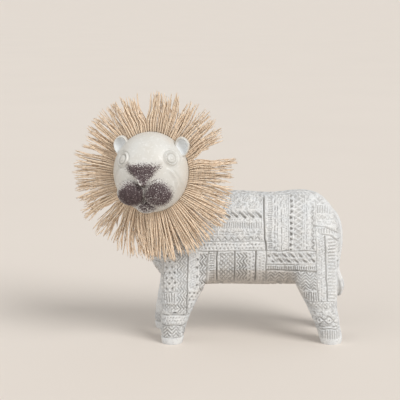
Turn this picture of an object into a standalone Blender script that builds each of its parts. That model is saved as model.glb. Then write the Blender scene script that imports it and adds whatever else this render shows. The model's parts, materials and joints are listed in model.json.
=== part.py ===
"""A standing lion figurine cast in resin, its head turned to its left side, with a mane of jute twine.

The figure is drawn in shares of its height, so one share is 1 mm at the height given here.
The lion looks along -X, its tail points along +X, and the carved flank nearest the viewer faces -Y.
"""

import math

import bmesh
import bpy
from mathutils import Matrix, Vector

# Driving dimensions, in metres
FIGURE_HEIGHT = 0.2515
CARVING_DEPTH = 0.0014
GROOVE_WIDTH = 0.0022
LINE_WIDTH = 0.0020
MANE_GAP = 0.0005
MANE_ROOT_THICKNESS = 0.0140
MANE_TIP_THICKNESS = 0.0030
EAR_WALL = 0.0022
EYE_RING_WIDTH = 0.0016

# Points closer than this are one point
WELD_DISTANCE = 0.00002

# One share of the height
SHARE = FIGURE_HEIGHT / 251.5

# Body: x, lowest z, highest z and half width of each section, from chest to rump
BODY_SECTIONS = (
    (-63.0, 88.0, 108.0, 9.0),
    (-58.0, 76.0, 122.0, 22.0),
    (-47.0, 61.0, 138.0, 33.5),
    (-32.0, 54.0, 146.0, 38.5),
    (-16.0, 53.0, 148.5, 40.0),
    (0.0, 54.0, 148.5, 40.0),
    (27.0, 54.0, 149.0, 39.5),
    (55.0, 53.5, 146.8, 39.5),
    (83.0, 54.0, 149.6, 40.0),
    (98.0, 54.0, 150.2, 40.0),
    (113.0, 57.0, 145.5, 38.0),
    (125.5, 68.0, 127.5, 30.0),
    (131.0, 86.0, 112.5, 13.0),
)
POINTS_AROUND = 16
FRONT_LEG_SECTION = 2
REAR_LEG_SECTION = 8
LEG_SECTIONS = 3
LEG_FIRST_POINT = 1
LEG_LAST_POINT = 3
NECK_SECTION = 2
NECK_SECTIONS = 3
NECK_FIRST_POINT = 6
NECK_LAST_POINT = 10
SMOOTHING_LEVELS = 1

# Legs: z, front x, rear x and half depth of each level of the near legs, the last one below the sole
LEG_SIDE = 27.5
FRONT_LEG_LEVELS = (
    (57.0, -48.0, -4.0, 13.2),
    (38.0, -47.3, -15.0, 12.4),
    (20.0, -47.6, -22.5, 11.8),
    (6.0, -48.2, -25.2, 11.6),
    (-5.0, -46.2, -27.0, 9.8),
)
REAR_LEG_LEVELS = (
    (57.0, 86.0, 127.5, 13.2),
    (38.0, 97.0, 126.5, 12.4),
    (20.0, 104.6, 129.0, 11.8),
    (6.0, 110.0, 133.4, 11.6),
    (-5.0, 112.0, 131.4, 9.8),
)
FAR_FRONT_LEG_SHIFT = -8.0
FAR_REAR_LEG_SHIFT = 4.0
LEG_SHIFT_SHARES = (0.2, 0.6, 1.0, 1.0, 1.0)

# Neck: centre, direction and radius of each ring, the last one inside the head
NECK_RINGS = (
    ((-31.0, -3.0, 158.5), (-0.35, -0.25, 0.90), 29.0),
    ((-42.0, -13.0, 172.5), (-0.35, -0.75, 0.55), 29.5),
    ((-51.5, -33.0, 175.0), (-0.17, -0.98, 0.0), 27.0),
)

# Head: its own axes are x to the viewer's right, y away from the viewer and z up
HEAD_CENTRE = (-55.5, -52.0, 175.3)
HEAD_YAW = math.radians(-10.0)
HEAD_RADII = (36.0, 33.0, 38.5)
EYE_SIDE = 22.0
EYE_HEIGHT = 16.5
EYE_RADIUS = 5.6
EYE_ROOT = 2.5
EYE_GROOVE_RISE = 0.3
EYE_RING_RISE = 1.1
EYE_DOME_RISE = 1.3
PAD_CENTRE = (12.0, -29.0, -15.0)
PAD_RADII = (12.8, 11.8, 11.6)
CHIN_CENTRE = (0.0, -22.0, -28.5)
CHIN_RADII = (10.5, 9.0, 7.5)
NOSE_TOP = 13.0
NOSE_TIP = -7.5
NOSE_TOP_HALF = 16.0
NOSE_TIP_HALF = 3.2
NOSE_DEPTH = 41.0
EAR_CENTRE = (30.6, -8.0, 26.6)
EAR_RADIUS = 7.8
EAR_HEIGHT = 9.6
EAR_DEPTH = 6.4
EAR_HOLLOW_DEPTH = 5.4
EAR_HOLLOW_FRONT = 6.2
NOSE_TOP_DEPTH = 32.3
NOSE_BACK_DEPTH = 13.0
NOSE_FRONT_NARROWING = 0.9
NOSE_ROUNDING = 2.2

# Tail: centre and radius of each ring, from the rump to the tip of the tuft
TAIL_RINGS = (
    ((120.5, 0.0, 130.0), 3.2),
    ((127.0, 0.0, 121.5), 3.6),
    ((130.2, 0.0, 107.0), 3.6),
    ((130.4, 0.0, 92.0), 3.4),
    ((129.0, 0.0, 80.0), 3.0),
    ((128.2, 0.0, 69.0), 2.8),
    ((129.4, 0.0, 60.5), 4.2),
    ((131.0, 0.0, 52.0), 5.0),
    ((130.8, 0.0, 44.0), 3.8),
    ((130.4, 0.0, 40.0), 1.4),
)

TAIL_POINTS = 8
TAIL_WIDENING = 1.15

# Carving: how far out and in the cuts reach, then upright grooves as x, low z and high z, slanted and
# level grooves as x, z to x, z, and zigzags as a box from x, z to x, z with their number of peaks
OUTER_REACH = 64.0
FLANK_REACH = 14.0
UPRIGHT_GROOVES = (
    (54.1, 92.5, 147.0),
    (77.5, 92.5, 140.0),
    (90.8, 92.5, 140.0),
    (104.5, 92.5, 124.0),
    (8.3, 62.0, 86.5),
    (25.2, 62.0, 88.5),
    (45.4, 62.0, 88.5),
    (-20.7, 62.0, 88.4),
)
LEVEL_GROOVES = (
    (12.0, 91.2, 52.4, 91.2),
    (22.0, 100.1, 52.4, 100.1),
    (57.0, 76.4, 101.4, 76.4),
    (106.8, 113.5, 126.0, 107.0),
    (106.8, 105.5, 127.0, 100.0),
)
LEG_GROOVES = (
    (-51.0, 27.0, -17.0, 27.0),
    (-51.0, 15.5, -20.0, 15.5),
    (95.0, 38.7, 129.0, 38.7),
    (102.0, 15.5, 133.0, 15.5),
)
ZIGZAG_ROWS = (
    (57.0, 79.0, 101.8, 89.0, 6),
    (22.0, 121.5, 52.0, 131.0, 4),
    (58.0, 61.0, 84.0, 70.0, 3),
)
ZIGZAG_COLUMNS = (
    (79.8, 93.0, 88.4, 137.0, 7),
    (94.8, 93.0, 101.5, 124.0, 5),
    (28.5, 63.0, 42.0, 88.0, 4),
    (-34.0, 62.0, -24.0, 88.0, 3),
    (-13.5, 62.0, -3.5, 88.0, 3),
)
FAR_LEVEL_GROOVES = 3
FAR_ZIGZAG_ROWS = 1
FAR_ZIGZAG_COLUMNS = 2

# Mane: its middle in the head's axes, and its reach
MANE_MIDDLE = (1.8, 7.0, -5.5)
MANE_REACH = 80.5
MANE_DROP = 83.0
LOCKS = 38
LOCK_RAGGEDNESS = 0.03
LOCK_UNEVENNESS = 5.1
LOCK_NOTCH = 0.08
LOCK_BELLY = 0.72
LOCK_BELLY_PLACE = 0.45
LOCK_RIDGE = 0.8


def at(x, y, z):
    """The point at these shares of the figure's height."""
    return Vector((x, y, z)) * SHARE


def link_mesh(name, mesh):
    thing = bpy.data.objects.new(name, mesh)
    bpy.context.scene.collection.objects.link(thing)
    return thing


def object_from(name, bm, turn_outwards=True):
    """A new object that holds the bmesh."""
    if turn_outwards:
        bmesh.ops.recalc_face_normals(bm, faces=bm.faces)
    mesh = bpy.data.meshes.new(name)
    bm.to_mesh(mesh)
    bm.free()
    return link_mesh(name, mesh)


def bake(thing):
    """Makes what the modifiers show the object's own mesh."""
    bm = bmesh.new()
    bm.from_object(thing, bpy.context.evaluated_depsgraph_get())
    thing.modifiers.clear()
    bm.to_mesh(thing.data)
    bm.free()


def boolean(thing, other, operation):
    """Joins or cuts the object with another one, which is used up."""
    step = thing.modifiers.new(operation.lower(), "BOOLEAN")
    step.operation = operation
    step.solver = "EXACT"
    step.object = other
    bake(thing)
    bpy.data.objects.remove(other)


def material(name, colour, roughness):
    made = bpy.data.materials.new(name)
    made.use_nodes = True
    shader = made.node_tree.nodes["Principled BSDF"]
    shader.inputs["Base Color"].default_value = (*colour, 1.0)
    shader.inputs["Roughness"].default_value = roughness
    shader.inputs["Metallic"].default_value = 0.0
    return made


def bridge(bm, first, second):
    """Quads between two closed loops with as many points each."""
    count = len(first)
    for i in range(count):
        j = (i + 1) % count
        bm.faces.new((first[i], first[j], second[j], second[i]))


def swell(count):
    """How far outside a smooth round outline the ring of points lies that the outline is drawn from."""
    return 3.0 / (2.0 + math.cos(2.0 * math.pi / count))


def body_rings(bm):
    rings = []
    for x, low, high, half in BODY_SECTIONS:
        middle = (low + high) / 2.0
        rise = (high - low) / 2.0 * swell(POINTS_AROUND)
        ring = []
        for k in range(POINTS_AROUND):
            angle = 2.0 * math.pi * k / POINTS_AROUND
            y = -half * swell(POINTS_AROUND) * math.sin(angle)
            ring.append(bm.verts.new(at(x, y, middle - rise * math.cos(angle))))
        rings.append(ring)
    return rings


def patch(rings, section, sections, first, last):
    """The body points of a patch of faces, as rows along the body from point first to point last."""
    rows = []
    for k in range(first, last + 1):
        rows.append([rings[section + s][k % POINTS_AROUND] for s in range(sections + 1)])
    return rows


def patch_border(rows):
    border = list(rows[0])
    border += [row[-1] for row in rows[1:-1]]
    border += list(reversed(rows[-1]))
    border += [row[0] for row in reversed(rows[1:-1])]
    return border


def leg(bm, rows, levels, side, shift):
    """Loops down from the body's border to below the sole, where the leg is closed."""
    loop = patch_border(rows)
    count = len(loop)
    for (z, front, rear, half), moved in zip(levels, LEG_SHIFT_SHARES):
        centre = (front + rear) / 2.0 + shift * moved
        ring = []
        for i in range(count):
            # The border starts along one side, from front to rear, and turns at the rear
            angle = 2.0 * math.pi * (LEG_SECTIONS + 1 - i) / count
            x = centre + (rear - front) / 2.0 * swell(count) * math.cos(angle)
            y = side + half * swell(count) * math.sin(angle)
            ring.append(bm.verts.new(at(x, y, z)))
        bridge(bm, loop, ring)
        loop = ring
    bm.faces.new(loop)


def neck(bm, rows):
    """Rings from the border on the shoulders to the back of the head."""
    loop = patch_border(rows)
    count = len(loop)
    for centre, direction, radius in NECK_RINGS:
        axis = Vector(direction).normalized()
        along = Vector((1.0, 0.0, 0.0))
        along = (along - axis * along.dot(axis)).normalized()
        across = axis.cross(along)
        ring = []
        for i in range(count):
            # The border starts along the near side, from front to rear
            angle = -math.pi / 2.0 + (i - NECK_SECTIONS / 2.0) * 2.0 * math.pi / count
            spread = along * math.cos(angle) + across * math.sin(angle)
            ring.append(bm.verts.new((Vector(centre) + spread * radius * swell(count)) * SHARE))
        bridge(bm, loop, ring)
        loop = ring
    bm.faces.new(loop)


def body_form():
    """The smooth form of body, neck and legs, cut off flat at the soles."""
    bm = bmesh.new()
    rings = body_rings(bm)
    near_points = (LEG_FIRST_POINT, LEG_LAST_POINT)
    far_points = (POINTS_AROUND - LEG_LAST_POINT, POINTS_AROUND - LEG_FIRST_POINT)
    legs = (
        (FRONT_LEG_SECTION, near_points, FRONT_LEG_LEVELS, -LEG_SIDE, 0.0),
        (FRONT_LEG_SECTION, far_points, FRONT_LEG_LEVELS, LEG_SIDE, FAR_FRONT_LEG_SHIFT),
        (REAR_LEG_SECTION, near_points, REAR_LEG_LEVELS, -LEG_SIDE, 0.0),
        (REAR_LEG_SECTION, far_points, REAR_LEG_LEVELS, LEG_SIDE, FAR_REAR_LEG_SHIFT),
    )
    openings = [(section, points, LEG_SECTIONS) for section, points, *_ in legs]
    openings.append((NECK_SECTION, (NECK_FIRST_POINT, NECK_LAST_POINT), NECK_SECTIONS))

    def is_open(s, k):
        return any(
            section <= s < section + sections and first <= k < last
            for section, (first, last), sections in openings
        )

    for s in range(len(rings) - 1):
        for k in range(POINTS_AROUND):
            if is_open(s, k):
                continue
            j = (k + 1) % POINTS_AROUND
            bm.faces.new((rings[s][k], rings[s][j], rings[s + 1][j], rings[s + 1][k]))
    bm.faces.new(rings[0])
    bm.faces.new(rings[-1])
    for section, (first, last), levels, side, shift in legs:
        leg(bm, patch(rings, section, LEG_SECTIONS, first, last), levels, side, shift)
    neck(bm, patch(rings, NECK_SECTION, NECK_SECTIONS, NECK_FIRST_POINT, NECK_LAST_POINT))
    loose = [point for point in bm.verts if not point.link_faces]
    bmesh.ops.delete(bm, geom=loose, context="VERTS")
    body = object_from("resin_lion", bm)
    smooth = body.modifiers.new("smooth", "SUBSURF")
    smooth.levels = SMOOTHING_LEVELS
    smooth.render_levels = SMOOTHING_LEVELS
    bake(body)
    return body


def cut_soles(thing):
    bm = bmesh.new()
    bm.from_mesh(thing.data)
    everything = bm.verts[:] + bm.edges[:] + bm.faces[:]
    bmesh.ops.bisect_plane(
        bm, geom=everything, plane_co=(0, 0, 0), plane_no=(0, 0, 1), clear_inner=True
    )
    rim = [edge for edge in bm.edges if edge.is_boundary]
    bmesh.ops.holes_fill(bm, edges=rim)
    bmesh.ops.recalc_face_normals(bm, faces=bm.faces)
    bm.to_mesh(thing.data)
    bm.free()


def head_placement():
    turn = Matrix.Rotation(HEAD_YAW, 4, "Z")
    return Matrix.Translation(at(*HEAD_CENTRE)) @ turn


def ellipsoid(name, centre, radii, segments, rings):
    """A smooth ball stretched along the head's axes."""
    bm = bmesh.new()
    stretch = Matrix.Diagonal((*(Vector(radii) * SHARE), 1.0))
    placement = head_placement() @ Matrix.Translation(at(*centre)) @ stretch
    bmesh.ops.create_uvsphere(
        bm, u_segments=segments, v_segments=rings, radius=1.0, matrix=placement
    )
    return object_from(name, bm)


def turned(name, placement, profile, segments):
    """A solid of revolution about its own z. Its (radius, height) points start and end on the axis."""
    bm = bmesh.new()
    start = bm.verts.new((0.0, 0.0, profile[0][1]))
    end = bm.verts.new((0.0, 0.0, profile[-1][1]))
    rings = []
    for radius, height in profile[1:-1]:
        ring = []
        for i in range(segments):
            angle = 2.0 * math.pi * i / segments
            ring.append(bm.verts.new((radius * math.cos(angle), radius * math.sin(angle), height)))
        rings.append(ring)
    for first, second in zip(rings, rings[1:]):
        bridge(bm, first, second)
    for i in range(segments):
        j = (i + 1) % segments
        bm.faces.new((start, rings[0][i], rings[0][j]))
        bm.faces.new((end, rings[-1][j], rings[-1][i]))
    bm.transform(placement)
    return object_from(name, bm)


def on_ball(x, z):
    """The point of the head's front at this x and z, and the direction out of it, in head axes."""
    rx, ry, rz = HEAD_RADII
    y = -ry * math.sqrt(1.0 - (x / rx) ** 2 - (z / rz) ** 2)
    out = Vector((x / rx**2, y / ry**2, z / rz**2)).normalized()
    return Vector((x, y, z)), out


def eye(side):
    """A raised ring round a low dome."""
    point, out = on_ball(EYE_SIDE * side, EYE_HEIGHT)
    placement = head_placement() @ Matrix.Translation(point * SHARE)
    placement = placement @ out.to_track_quat("Z", "Y").to_matrix().to_4x4()
    outer = EYE_RADIUS * SHARE
    inner = outer - EYE_RING_WIDTH
    profile = (
        (0.0, -EYE_ROOT * SHARE),
        (inner, -EYE_ROOT * SHARE),
        (outer, EYE_GROOVE_RISE * SHARE),
        ((outer + inner) / 2.0, EYE_RING_RISE * SHARE),
        (inner, EYE_GROOVE_RISE * SHARE),
        (0.0, EYE_DOME_RISE * SHARE),
    )
    return turned("eye", placement, profile, 12)


def ear(side):
    """A thick upright shell with a hollow that faces forward."""
    x, y, z = EAR_CENTRE
    shell = ellipsoid("ear", (x * side, y, z), (EAR_RADIUS, EAR_DEPTH, EAR_HEIGHT), 14, 8)
    wall = EAR_WALL / SHARE
    hollow = (EAR_RADIUS - wall, EAR_HOLLOW_DEPTH, EAR_HEIGHT - wall)
    cutter = ellipsoid("hollow", (x * side, y - EAR_HOLLOW_FRONT, z), hollow, 12, 6)
    boolean(shell, cutter, "DIFFERENCE")
    return shell


def nose():
    """A blunt wedge, wide between the eyes and narrow at its tip above the muzzle."""
    bm = bmesh.new()
    back = -NOSE_BACK_DEPTH
    corners = []
    for z, half, front in (
        (NOSE_TOP, NOSE_TOP_HALF, -NOSE_TOP_DEPTH),
        (NOSE_TIP, NOSE_TIP_HALF, -NOSE_DEPTH),
    ):
        narrow = half * NOSE_FRONT_NARROWING
        ring = []
        for x, y in ((-half, back), (-narrow, front), (narrow, front), (half, back)):
            ring.append(bm.verts.new(at(x, y, z)))
        corners.append(ring)
    bridge(bm, *corners)
    bm.faces.new(corners[0])
    bm.faces.new(corners[1])
    bm.transform(head_placement())
    wedge = object_from("nose", bm)
    rounding = wedge.modifiers.new("rounding", "BEVEL")
    rounding.width = NOSE_ROUNDING * SHARE
    rounding.segments = 2
    bake(wedge)
    return wedge


def head_pieces():
    pieces = [ellipsoid("head", (0.0, 0.0, 0.0), HEAD_RADII, 22, 12)]
    for side in (-1.0, 1.0):
        x, y, z = PAD_CENTRE
        pieces.append(ear(side))
        pieces.append(ellipsoid("pad", (x * side, y, z), PAD_RADII, 12, 8))
        pieces.append(eye(side))
    pieces.append(ellipsoid("chin", CHIN_CENTRE, CHIN_RADII, 12, 8))
    pieces.append(nose())
    return pieces


def tail():
    """A round strip down the middle of the rump that ends in a hanging tuft."""
    bm = bmesh.new()
    centres = [Vector(centre) for centre, radius in TAIL_RINGS]
    rings = []
    last = len(centres) - 1
    for i, (centre, radius) in enumerate(TAIL_RINGS):
        along = (centres[min(i + 1, last)] - centres[max(i - 1, 0)]).normalized()
        side = Vector((0.0, 1.0, 0.0))
        out = along.cross(side)
        ring = []
        for k in range(TAIL_POINTS):
            angle = 2.0 * math.pi * k / TAIL_POINTS
            spread = side * math.cos(angle) * TAIL_WIDENING + out * math.sin(angle)
            ring.append(bm.verts.new((centres[i] + spread * radius) * SHARE))
        rings.append(ring)
    for first, second in zip(rings, rings[1:]):
        bridge(bm, first, second)
    bm.faces.new(rings[0])
    bm.faces.new(rings[-1])
    return object_from("tail", bm)


def prism(bm, outline, near, far):
    """A solid with this outline in x and z, between two values of y."""
    pairs = zip(outline, outline[1:] + outline[:1])
    if sum(x0 * z1 - x1 * z0 for (x0, z0), (x1, z1) in pairs) < 0.0:
        outline = outline[::-1]
    front = [bm.verts.new(at(x, near, z)) for x, z in outline]
    back = [bm.verts.new(at(x, far, z)) for x, z in outline]
    bm.faces.new(front)
    bm.faces.new(back[::-1])
    bridge(bm, back, front)


def bar(x0, z0, x1, z1):
    """The outline of a straight groove."""
    run = Vector((x1 - x0, z1 - z0)).normalized()
    half = GROOVE_WIDTH / SHARE / 2.0
    across = Vector((-run.y, run.x)) * half
    return [
        (x0 + across.x, z0 + across.y),
        (x1 + across.x, z1 + across.y),
        (x1 - across.x, z1 - across.y),
        (x0 - across.x, z0 - across.y),
    ]


def zigzag(x0, z0, x1, z1, count, upright):
    """The outline of a zigzag line that fills a box, with count peaks along x or, if upright, along z."""
    peak_run = (z1 - z0 if upright else x1 - x0) / (2.0 * count)
    swing = x1 - x0 if upright else z1 - z0
    # The line is this wide across its run, so that it is LINE_WIDTH wide across itself
    width = LINE_WIDTH / SHARE
    thick = width * math.hypot(peak_run, swing - width) / peak_run
    line = []
    for i in range(2 * count + 1):
        run = peak_run * i
        rise = (swing - thick) * (i % 2)
        line.append((x0 + rise, z0 + run) if upright else (x0 + run, z0 + rise))
    shift = Vector((thick, 0.0)) if upright else Vector((0.0, thick))
    other = [(x + shift.x, z + shift.y) for x, z in reversed(line)]
    return line + other


def flank_carving(level_grooves, rows, columns):
    """Outlines of the upright grooves, which both flanks carry, of these level ones and zigzags."""
    outlines = [bar(x, low, x, high) for x, low, high in UPRIGHT_GROOVES]
    outlines += [bar(*groove) for groove in level_grooves]
    outlines += [zigzag(*row, False) for row in rows]
    outlines += [zigzag(*column, True) for column in columns]
    return outlines


def weld(thing):
    """Merges the points that the cuts leave closer together than anything that can be seen."""
    bm = bmesh.new()
    bm.from_mesh(thing.data)
    bmesh.ops.remove_doubles(bm, verts=bm.verts, dist=WELD_DISTANCE)
    bmesh.ops.triangulate(bm, faces=bm.faces)
    bm.to_mesh(thing.data)
    bm.free()


def carve(lion, form):
    """Cuts the carving to one depth below the smooth form, more of it on the near side."""
    bm = bmesh.new()
    for outline in flank_carving(LEVEL_GROOVES, ZIGZAG_ROWS, ZIGZAG_COLUMNS):
        prism(bm, outline, -OUTER_REACH, -FLANK_REACH)
    far_grooves = LEVEL_GROOVES[:FAR_LEVEL_GROOVES]
    far_rows = ZIGZAG_ROWS[:FAR_ZIGZAG_ROWS]
    far_columns = ZIGZAG_COLUMNS[:FAR_ZIGZAG_COLUMNS]
    for outline in flank_carving(far_grooves, far_rows, far_columns):
        prism(bm, outline, FLANK_REACH, OUTER_REACH)
    for groove in LEG_GROOVES:
        prism(bm, bar(*groove), -OUTER_REACH, -LEG_SIDE)
    cutters = object_from("carving", bm, turn_outwards=False)
    core = bmesh.new()
    core.from_mesh(form.data)
    core.normal_update()
    for point in core.verts:
        point.co -= point.normal * CARVING_DEPTH
    boolean(cutters, object_from("core", core), "DIFFERENCE")
    boolean(lion, cutters, "DIFFERENCE")


def head_surface(angle, y):
    """The radius of the head at this angle round the mane's middle, at depth y in head axes."""
    rx, ry, rz = HEAD_RADII
    shrink = math.sqrt(max(0.0, 1.0 - (y / ry) ** 2))
    a, b = rx * shrink, rz * shrink
    cx, cz = -MANE_MIDDLE[0], -MANE_MIDDLE[2]
    ux, uz = math.cos(angle), math.sin(angle)
    # Where a ray from the mane's middle leaves the ellipse about the head's centre
    qa = (ux / a) ** 2 + (uz / b) ** 2
    qb = -2.0 * (cx * ux / a**2 + cz * uz / b**2)
    qc = (cx / a) ** 2 + (cz / b) ** 2 - 1.0
    return (-qb + math.sqrt(qb * qb - 4.0 * qa * qc)) / (2.0 * qa)


def mane():
    """A ring of locks round the widest line of the head, thick at the root and thin at the tips."""
    bm = bmesh.new()
    root = MANE_ROOT_THICKNESS / SHARE
    tip = MANE_TIP_THICKNESS / SHARE
    gap = MANE_GAP / SHARE
    middle = MANE_MIDDLE[1]
    rings = []
    for i in range(2 * LOCKS):
        angle = math.pi * i / LOCKS
        ridge = float(i % 2)
        uneven = 1.0 + math.sin(LOCK_UNEVENNESS * i)
        length = 1.0 - LOCK_RAGGEDNESS * uneven - LOCK_NOTCH * (1.0 - ridge)
        reach = math.hypot(MANE_REACH * math.cos(angle), MANE_DROP * math.sin(angle)) * length
        front = middle - root / 2.0
        back = middle + root / 2.0
        front_hole = head_surface(angle, front) + gap
        middle_hole = head_surface(angle, middle) + gap
        back_hole = head_surface(angle, back) + gap
        belly = root * LOCK_BELLY / 2.0 + LOCK_RIDGE * ridge
        belly_radius = front_hole + (reach - front_hole) * LOCK_BELLY_PLACE
        section = (
            (front_hole, front),
            (belly_radius, middle - belly),
            (reach, middle - tip / 2.0),
            (reach, middle + tip / 2.0),
            (belly_radius, middle + belly),
            (back_hole, back),
            (middle_hole, middle),
        )
        ring = []
        for radius, y in section:
            x = MANE_MIDDLE[0] + radius * math.cos(angle)
            z = MANE_MIDDLE[2] + radius * math.sin(angle)
            ring.append(bm.verts.new(at(x, y, z)))
        rings.append(ring)
    for first, second in zip(rings, rings[1:] + rings[:1]):
        bridge(bm, first, second)
    bm.transform(head_placement())
    return object_from("jute_mane", bm)


def recentre(things):
    """Puts the origin at the middle of the underside of the whole figure."""
    low = [min(v.co[k] for thing in things for v in thing.data.vertices) for k in range(3)]
    high = [max(v.co[k] for thing in things for v in thing.data.vertices) for k in range(3)]
    shift = Matrix.Translation((-(low[0] + high[0]) / 2.0, -(low[1] + high[1]) / 2.0, -low[2]))
    for thing in things:
        thing.data.transform(shift)


def main():
    for thing in list(bpy.data.objects):
        bpy.data.objects.remove(thing)
    lion = body_form()
    cut_soles(lion)
    form = link_mesh("form", lion.data.copy())
    carve(lion, form)
    bpy.data.objects.remove(form)
    for piece in head_pieces():
        boolean(lion, piece, "UNION")
    boolean(lion, tail(), "UNION")
    weld(lion)
    fringe = mane()
    recentre([lion, fringe])
    lion.data.materials.clear()
    lion.data.materials.append(material("pale_resin", (0.75, 0.74, 0.71), 0.75))
    fringe.data.materials.append(material("jute", (0.61, 0.42, 0.24), 0.9))
    for thing in (lion, fringe):
        thing.data.shade_smooth()
        thing.data.set_sharp_from_angle(angle=math.radians(40.0))


main()
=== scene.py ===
"""Looks of the standing lion figurine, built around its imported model.

The carved body, the smooth head and the twine mane are drawn in the same shares of the figure's
height as the model, one share being 1 mm. In that drawing the lion looks along -X, the flank
nearest the viewer faces -Y, and the mean plane of the body is y = 0.
The carving is laid out in the photograph's frame, which is 400 pixels wide and high and where
one pixel is 1 mm at the body's middle. The far flank mirrors it, with fewer bands.
"""

import json
import math

import bmesh
import bpy
import numpy as np
from mathutils import Matrix, Vector


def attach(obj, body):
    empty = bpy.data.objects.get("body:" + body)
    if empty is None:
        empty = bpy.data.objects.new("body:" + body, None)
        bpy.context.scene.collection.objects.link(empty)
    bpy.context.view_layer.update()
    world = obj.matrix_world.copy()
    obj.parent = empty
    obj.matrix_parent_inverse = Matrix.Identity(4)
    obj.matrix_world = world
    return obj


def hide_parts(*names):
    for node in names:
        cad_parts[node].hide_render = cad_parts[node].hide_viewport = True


bl_info = {
    "name": "Lion figurine with a twine mane",
    "version": (1, 0, 0),
    "blender": (4, 5, 0),
    "location": "View3D > Sidebar > Figurine",
    "description": "Models a carved resin lion, its mane of jute twine and a plain studio",
    "category": "Add Mesh",
}

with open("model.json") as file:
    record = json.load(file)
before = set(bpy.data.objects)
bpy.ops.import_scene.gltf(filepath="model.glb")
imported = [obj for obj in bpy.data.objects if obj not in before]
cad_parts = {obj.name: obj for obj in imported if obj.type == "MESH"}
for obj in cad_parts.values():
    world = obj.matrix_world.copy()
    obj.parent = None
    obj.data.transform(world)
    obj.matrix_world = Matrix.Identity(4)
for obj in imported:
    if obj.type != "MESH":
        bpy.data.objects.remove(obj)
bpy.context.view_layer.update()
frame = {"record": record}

SHARE = 0.001
BODY_NAME = "lion_body"
HEAD_NAME = "lion_head"

# The near front sole's centre in the drawing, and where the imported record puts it
SOLE_DRAWN = Vector((-36.65, -27.5, 0.0))
SOLE_PLACED = next(
    Vector(mount["pos_m"]) for mount in frame["record"]["mounts"] if mount["name"] == "near_front_sole"
)
SHIFT = SOLE_PLACED / SHARE - SOLE_DRAWN

# The photograph's view: the point looked at, the distance and the elevation
VIEW_TARGET = Vector((-9.0, 0.0, 139.0))
VIEW_DISTANCE = 1200.0
VIEW_ELEVATION = math.radians(10.0)
FRAME_PIXELS = 400.0

# Body: x, lowest z, highest z and half width of each section, from chest to rump
BODY_SECTIONS = (
    (-63.0, 88.0, 108.0, 9.0),
    (-58.0, 76.0, 122.0, 22.0),
    (-47.0, 61.0, 138.0, 33.5),
    (-32.0, 54.0, 146.0, 38.5),
    (-16.0, 53.0, 148.5, 40.0),
    (0.0, 54.0, 148.5, 40.0),
    (13.5, 54.0, 148.2, 39.8),
    (27.0, 54.0, 149.0, 39.5),
    (41.0, 53.7, 148.2, 39.5),
    (55.0, 53.5, 146.9, 39.5),
    (69.0, 53.6, 147.4, 39.7),
    (83.0, 54.0, 149.5, 40.0),
    (98.0, 54.0, 150.2, 40.0),
    (113.0, 57.0, 145.5, 38.0),
    (126.5, 68.0, 128.5, 30.5),
    (132.4, 86.0, 113.0, 13.5),
)

# Where the legs and the neck leave the body: sections from the chest, and points round each section
# from under the belly
POINTS_AROUND = 16
FRONT_LEG_SECTION = 2
REAR_LEG_SECTION = 11
LEG_SECTIONS = 3
LEG_POINTS = (1, 3)
NECK_SECTION = 2
NECK_SECTIONS = 3
NECK_POINTS = (6, 10)
FORM_LEVELS = 3

# Areas above which a face of the body is cut: near ones in three, then near ones and others in two
NEAR_FACE_FIRST = 2.75
NEAR_FACE_THEN = 0.9
OTHER_FACE = 2.45

# Legs: z, front x, rear x and half depth of each level of the near legs, the last one below the sole
LEG_SIDE = 27.5
FRONT_LEG_LEVELS = (
    (57.0, -48.0, -4.0, 13.2),
    (38.0, -47.3, -15.0, 12.4),
    (20.0, -47.6, -22.5, 11.8),
    (6.0, -48.2, -25.2, 11.6),
    (-5.0, -46.2, -27.0, 9.8),
)
REAR_LEG_LEVELS = (
    (57.0, 86.0, 127.5, 13.2),
    (38.0, 97.0, 126.5, 12.4),
    (20.0, 104.6, 129.0, 11.8),
    (6.0, 110.0, 133.4, 11.6),
    (-5.0, 112.0, 131.4, 9.8),
)

# How far the far legs are moved along x, and each level's share of that; the height below which the
# carving runs round a leg, the x between front and rear legs, and how far out a leg's side lies
FAR_FRONT_LEG_SHIFT = -8.0
FAR_REAR_LEG_SHIFT = 4.0
LEG_SHIFT_SHARES = (0.2, 0.6, 1.0, 1.0, 1.0)
LEG_TOP = 46.0
LEG_PARTING = 40.0
LEG_FACE = 11.0
LEG_HALF_DEPTH = 12.0

# Neck: centre, direction and radius of each ring, the last one inside the head
NECK_RINGS = (
    ((-31.0, -3.0, 158.5), (-0.35, -0.25, 0.90), 29.0),
    ((-42.0, -13.0, 172.5), (-0.35, -0.75, 0.55), 29.5),
    ((-51.5, -33.0, 175.0), (-0.17, -0.98, 0.0), 27.0),
)

# Tail: x, z and radius of each ring, from the rump to the tip of the tuft
TAIL_RINGS = (
    (121.0, 130.5, 3.2),
    (127.8, 122.0, 3.6),
    (131.2, 107.0, 3.6),
    (131.2, 92.0, 3.4),
    (129.4, 80.0, 3.0),
    (128.2, 69.0, 2.8),
    (129.6, 61.0, 4.6),
    (132.2, 52.5, 6.2),
    (132.0, 45.0, 4.8),
    (130.8, 40.0, 1.4),
)
TAIL_POINTS = 10
TAIL_WIDENING = 1.15
TUFT_TOP = 62.0
TUFT_MIDDLE = 129.0
TUFT_LOCKS = 7.0

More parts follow.
